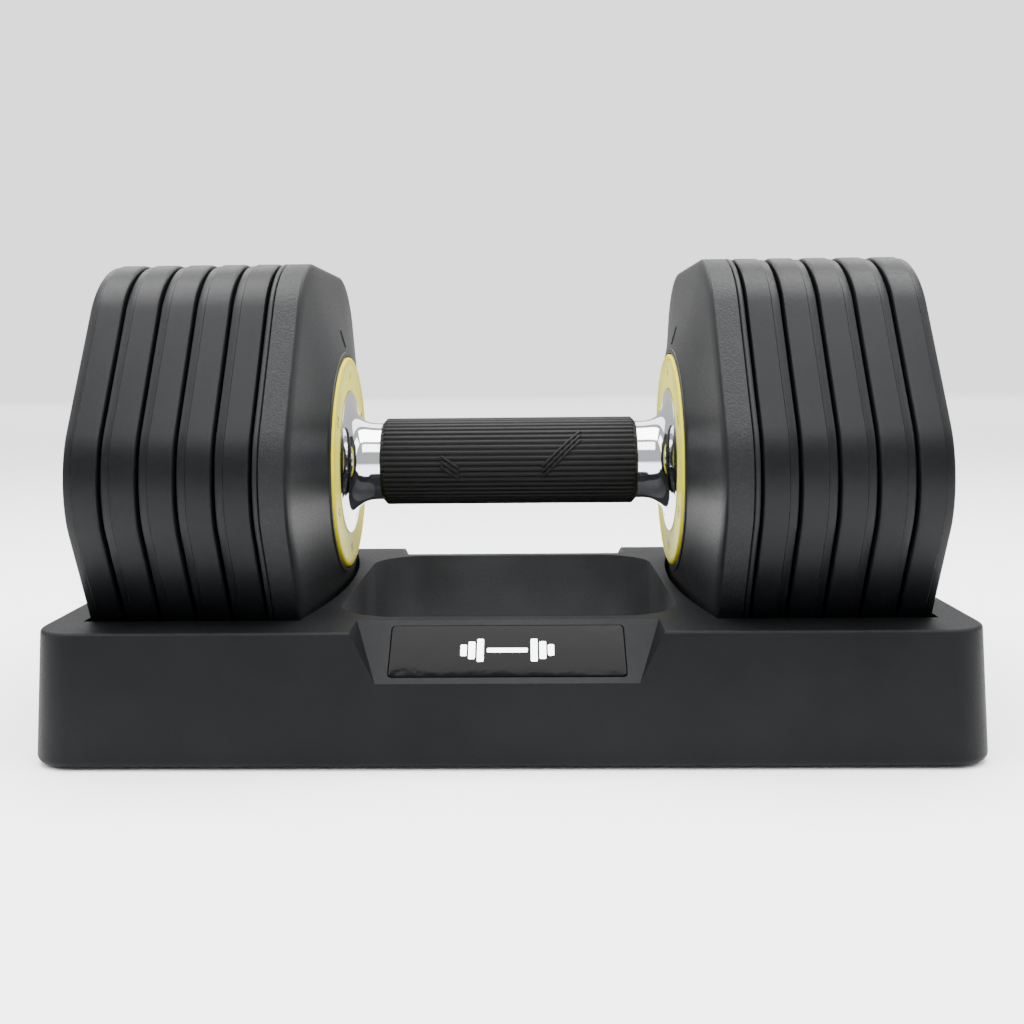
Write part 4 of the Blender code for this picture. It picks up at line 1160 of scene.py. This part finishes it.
    def notch(self, facing: int) -> bmesh.types.BMesh:
        """Sloping cut in a long side: the front for -1, the rear for +1."""
        low_z, high_z = self.notch_foot_z, self.top + OVERCUT
        shape = box_shape(Vector((-1, 0, low_z)), Vector((1, 1, high_z)))
        run = (self.wall_y(low_z) - self.notch_top_y) / (self.top - low_z)
        spread = (self.notch_top_half - self.notch_foot_half) / (self.top - low_z)
        near_side = {vertex for vertex in shape.verts if vertex.co.y < 0.5}
        for vertex in shape.verts:
            rise = vertex.co.z - low_z
            near = self.wall_y(low_z) - rise * run
            vertex.co.x *= self.notch_foot_half + rise * spread
            vertex.co.y = facing * (near if vertex in near_side else self.wall_y(0) + 0.01)
        corners = [edge for edge in shape.edges if near_side.issuperset(edge.verts)
                   and abs(edge.verts[0].co.z - edge.verts[1].co.z) > OVERCUT]
        bmesh.ops.bevel(shape, geom=corners, affect="EDGES", offset=self.notch_fillet, segments=6,
                        profile=0.5, material=-1)
        return shape

    def badge_place(self) -> Matrix:
        """Place and tilt of the front notch's face, its normal along local Z."""
        run = (self.wall_y(self.notch_foot_z) - self.notch_top_y) / (self.top - self.notch_foot_z)
        middle_y = -(self.wall_y(self.notch_foot_z) + self.notch_top_y) / 2
        middle_z = (self.notch_foot_z + self.top) / 2
        tilt = math.atan2(1.0, run)
        return Matrix.Translation((0, middle_y, middle_z)) @ Matrix.Rotation(tilt, 4, "X")

    def badge_shape(self, grow: float, low: float, high: float, soft: float) -> bmesh.types.BMesh:
        """Rounded plate lying on the front notch's face.

        Args:
            grow: How much larger than the badge all round.
            low: Its underside above the face.
            high: Its top above the face.
            soft: Rounding of its top edge.

        Returns:
            The plate.
        """
        half_x, half_y = self.badge_half[0] + grow, self.badge_half[1] + grow
        shape = box_shape(Vector((-half_x, -half_y, low)), Vector((half_x, half_y, high)))
        upright = [edge for edge in shape.edges if edge.calc_length() < (high - low) * 1.01]
        bmesh.ops.bevel(shape, geom=upright, affect="EDGES", offset=self.badge_corner, segments=8,
                        profile=0.5, material=-1)
        if soft:
            rim = [edge for edge in shape.edges if min(v.co.z for v in edge.verts) > high - 1e-6]
            bmesh.ops.bevel(shape, geom=rim, affect="EDGES", offset=soft, segments=3,
                            profile=0.5, material=-1)
        bmesh.ops.transform(shape, matrix=self.badge_place(), verts=shape.verts)
        return shape

    def build_body(self) -> None:
        """Cut the block to the tray's shape and soften its cut edges."""
        item = scratch(self.block())
        right = self.pocket()
        left_item = scratch(mirrored(self.pocket(), Side.LEFT))
        carve(item, right)
        carve(item, drop(left_item))
        carve(item, self.recess())
        carve(item, self.notch(-1))
        carve(item, self.notch(1))
        carve(item, self.badge_shape(FIT, self.badge_proud - self.badge_thickness - FIT, 0.01, 0.0))
        pan_low, pan_high = node_low("base_pan"), node_high("base_pan")
        seat = box_shape(Vector((pan_low.x - FIT, pan_low.y - FIT, -0.001)),
                         Vector((pan_high.x + FIT, pan_high.y + FIT, pan_high.z + FIT)))
        upright = [edge for edge in seat.edges if edge.calc_length() < 0.01]
        bmesh.ops.bevel(seat, geom=upright, affect="EDGES", offset=self.pan_corner, segments=8,
                        profile=0.5, material=-1)
        carve(item, seat)
        piece = to_piece("tray", drop(item), self.finishes.tray, "tray", ("tray_shell",), 24)
        # Recess walls and floor take the lighter recess finish: painted light where the top light falls into
        # the hollow.
        piece.data.materials.append(self.finishes.recess)
        half_x, half_y = self.recess_half
        for polygon in piece.data.polygons:
            middle = polygon.center
            inside = abs(middle.x) < half_x and abs(middle.y) < half_y
            if inside and self.recess_floor - 0.001 < middle.z < self.top - 0.001:
                polygon.material_index = 1
        soften = piece.modifiers.new("soften", "BEVEL")
        soften.width = 0.0014
        soften.segments = 3
        soften.limit_method = "ANGLE"
        soften.angle_limit = math.radians(28)
        soften.harden_normals = True

    def build_posts(self) -> None:
        """Stand a post in each pocket, which lifts the head's safety slider."""
        slider_low, slider_high = node_low("lock_slider_right"), node_high("lock_slider_right")
        foot, end = slider_low.z, slider_high.x
        for side in Side:
            shape = box_shape(Vector((end - FIT - self.post_thickness, -self.post_half, self.post_foot)),
                              Vector((end - FIT, self.post_half, foot - FIT)))
            top_edges = [edge for edge in shape.edges
                         if min(v.co.z for v in edge.verts) > self.post_foot + SOFT_EDGE]
            bmesh.ops.bevel(shape, geom=top_edges, affect="EDGES", offset=SOFT_EDGE, segments=3,
                            profile=0.5, material=-1)
            to_piece(f"post_{side.word}", mirrored(shape, side), self.finishes.tray, "tray")

    def build_badge(self) -> None:
        """Set the gloss badge in its seat, with a foil line and dumbbell sign."""
        plate = self.badge_shape(0.0, self.badge_proud - self.badge_thickness, self.badge_proud, 0.0003)
        to_piece("badge", plate, self.finishes.badge, "tray", ("badge_plate",), 30)
        sign = bmesh.new()
        bars = [self.sign_bar]
        for facing in (-1, 1):
            bars += [(facing * x, half_x, half_y) for x, half_x, half_y in self.sign_weights]
        for x, half_x, half_y in bars:
            place = Matrix.Translation((x, 0, self.badge_proud))
            size = Matrix.Diagonal((2 * half_x, 2 * half_y, self.sign_thickness, 1))
            made = bmesh.ops.create_cube(sign, size=1.0, matrix=place @ size)["verts"]
            edges = {edge for vertex in made for edge in vertex.link_edges
                     if edge.calc_length() < 1.5 * self.sign_thickness}
            bmesh.ops.bevel(sign, geom=list(edges), affect="EDGES", offset=self.sign_corner, segments=4,
                            profile=0.5, material=-1)
        bmesh.ops.transform(sign, matrix=self.badge_place(), verts=sign.verts)
        to_piece("badge_sign", sign, self.finishes.silver, "tray", (), 30)

    def build_feet(self) -> None:
        """Turn the four rubber feet with a rounded lower edge."""
        for number in range(1, 5):
            low, high = node_low(f"foot_{number}"), node_high(f"foot_{number}")
            middle = (low + high) / 2
            shape = bmesh.new()
            radius = (high.x - low.x) / 2
            bmesh.ops.create_cone(shape, cap_ends=True, segments=48, radius1=radius, radius2=radius,
                                  depth=high.z - low.z, matrix=Matrix.Translation(middle))
            rim = [edge for edge in shape.edges if max(v.co.z for v in edge.verts) < middle.z]
            bmesh.ops.bevel(shape, geom=rim, affect="EDGES", offset=SOFT_EDGE, segments=3,
                            profile=0.5, material=-1)
            to_piece(f"rubber_foot_{number}", shape, self.finishes.foot, "tray",
                     (f"foot_{number}",), 30)

    def build(self) -> None:
        """Build the tray's pieces."""
        self.build_body()
        self.build_posts()
        self.build_badge()
        self.build_feet()


# ---------------------------------------------------------------- hidden parts
def dress_nodes(finishes: Finishes) -> None:
    """Give every CAD node that stays its finish, by its material slot in the record.

    Args:
        finishes: The finishes.
    """
    by_slot = {"steel": finishes.steel, "bronze": finishes.bronze, "weight_steel": finishes.weight,
               "tray_plastic": finishes.tray, "head_plastic": finishes.cone, "plate_plastic": finishes.plate,
               "badge_gloss": finishes.badge, "dial_yellow": finishes.dial_face, "chrome": finishes.chrome,
               "grip_rubber": finishes.rubber, "foot_rubber": finishes.foot}
    slots = {part["node"]: part["material_slot"] for part in frame["record"]["subparts"]}
    for name, item in frame["nodes"].items():
        item.data.materials.clear()
        item.data.materials.append(by_slot[slots[name]])
        LOG.info("node %s: %s", name, slots[name])


# ---------------------------------------------------------------- studio
@dataclass
class Studio:
    """Pale floor, soft lights and the camera."""

    focal_mm: float = 39.32
    shift: tuple[float, float] = (0.01035, -0.1124)
    place: tuple[float, float, float] = (0.00903, -0.55992, 0.16366)
    yaw: float = -0.0225
    pitch: float = 0.0258
    roll: float = -0.0101
    glow: float = 0.8
    backdrop: float = 1.9

    def build_floor(self) -> None:
        """Lay the plain pale floor."""
        shape = bmesh.new()
        bmesh.ops.create_grid(shape, x_segments=1, y_segments=1, size=6.0)
        mesh = bpy.data.meshes.new("floor")
        shape.to_mesh(mesh)
        shape.free()
        floor = bpy.data.objects.new("floor", mesh)
        bpy.context.scene.collection.objects.link(floor)
        material, tree, shader = blank_material("studio_paper")
        grain = add_node(tree, "ShaderNodeTexNoise", inputs={"Scale": 40.0, "Detail": 3.0},
                         links={"Vector": add_node(tree, "ShaderNodeTexCoord").outputs["Object"]})
        tint = add_node(tree, "ShaderNodeValToRGB", links={"Fac": grain.outputs["Fac"]})
        set_ramp(tint, [(0.0, (0.93, 0.93, 0.93, 1.0)), (1.0, (0.97, 0.97, 0.97, 1.0))])
        tree.links.new(tint.outputs["Color"], shader.inputs["Base Color"])
        shader.inputs["Roughness"].default_value = 0.9
        mesh.materials.append(material)

    def light(self, name: str, place: tuple[float, float, float], target: tuple[float, float, float],
              size: tuple[float, float], watts: float) -> None:
        """Hang one soft box.

        Args:
            name: Its name.
            place: Where it hangs.
            target: What it faces.
            size: Its width and height.
            watts: Its power.
        """
        lamp = bpy.data.lights.new(name, "AREA")
        lamp.shape = "RECTANGLE"
        lamp.size, lamp.size_y = size
        lamp.energy = watts
        item = bpy.data.objects.new(name, lamp)
        item.location = place
        item.rotation_euler = (Vector(target) - Vector(place)).to_track_quat("-Z", "Y").to_euler()
        bpy.context.scene.collection.objects.link(item)

    def build_lights(self) -> None:
        """Hang the lights and set the surroundings."""
        self.light("top_box", (0.0, -0.05, 1.3), (0.0, 0.0, 0.1), (1.8, 1.0), 75.0)
        self.light("front_box", (0.0, -1.2, 1.3), (0.0, 0.0, 0.1), (1.8, 0.7), 30.0)
        self.light("back_box", (0.0, 4.0, 3.0), (0.0, 4.001, 0.0), (10.0, 4.0), 450.0)
        self.light("left_box", (-1.4, -0.3, 0.9), (0.0, 0.0, 0.1), (0.7, 0.9), 12.0)
        self.light("right_box", (1.4, -0.3, 0.9), (0.0, 0.0, 0.1), (0.7, 0.9), 12.0)
        world = bpy.data.worlds.new("studio")
        world.use_nodes = True
        back = world.node_tree.nodes["Background"]
        back.inputs["Color"].default_value = (1.0, 1.0, 1.0, 1.0)
        seen = add_node(world.node_tree, "ShaderNodeLightPath")
        strength = add_node(world.node_tree, "ShaderNodeMapRange",
                            inputs={"To Min": self.glow, "To Max": self.backdrop},
                            links={"Value": seen.outputs["Is Camera Ray"]})
        world.node_tree.links.new(strength.outputs["Result"], back.inputs["Strength"])
        bpy.context.scene.world = world

    def build_camera(self) -> None:
        """Set the camera at eye level in front."""
        ahead = Vector((math.sin(self.yaw), math.cos(self.yaw), 0))
        right = Vector((math.cos(self.yaw), -math.sin(self.yaw), 0))
        up = Vector((0, 0, 1))
        forward = math.cos(self.pitch) * ahead - math.sin(self.pitch) * up
        raised = math.cos(self.pitch) * up + math.sin(self.pitch) * ahead
        side = math.cos(self.roll) * right + math.sin(self.roll) * raised
        top = math.cos(self.roll) * raised - math.sin(self.roll) * right
        lens = bpy.data.cameras.new("camera")
        lens.sensor_width = 36.0
        lens.lens = self.focal_mm
        lens.shift_x, lens.shift_y = self.shift
        item = bpy.data.objects.new("camera", lens)
        turn = Matrix((side, top, -forward)).transposed()
        item.matrix_world = Matrix.Translation(self.place) @ turn.to_4x4()
        bpy.context.scene.collection.objects.link(item)
        bpy.context.scene.camera = item

    def build(self) -> None:
        """Build the studio."""
        self.build_floor()
        self.build_lights()
        self.build_camera()


def main() -> None:
    """Build every sub-assembly in order, then the studio."""
    logging.basicConfig(level=logging.INFO, format="%(name)s: %(message)s")
    finishes = Finishes()
    dress_nodes(finishes)
    Tray(finishes).build()
    Plates(finishes).build()
    for side in Side:
        Head(side, finishes).build()
        Collar(side, finishes).build()
        DialRing(side, finishes).build()
        LockRod(side, finishes).build()
    Grip(finishes).build()
    Studio().build()


if __name__ == "__main__":
    main()
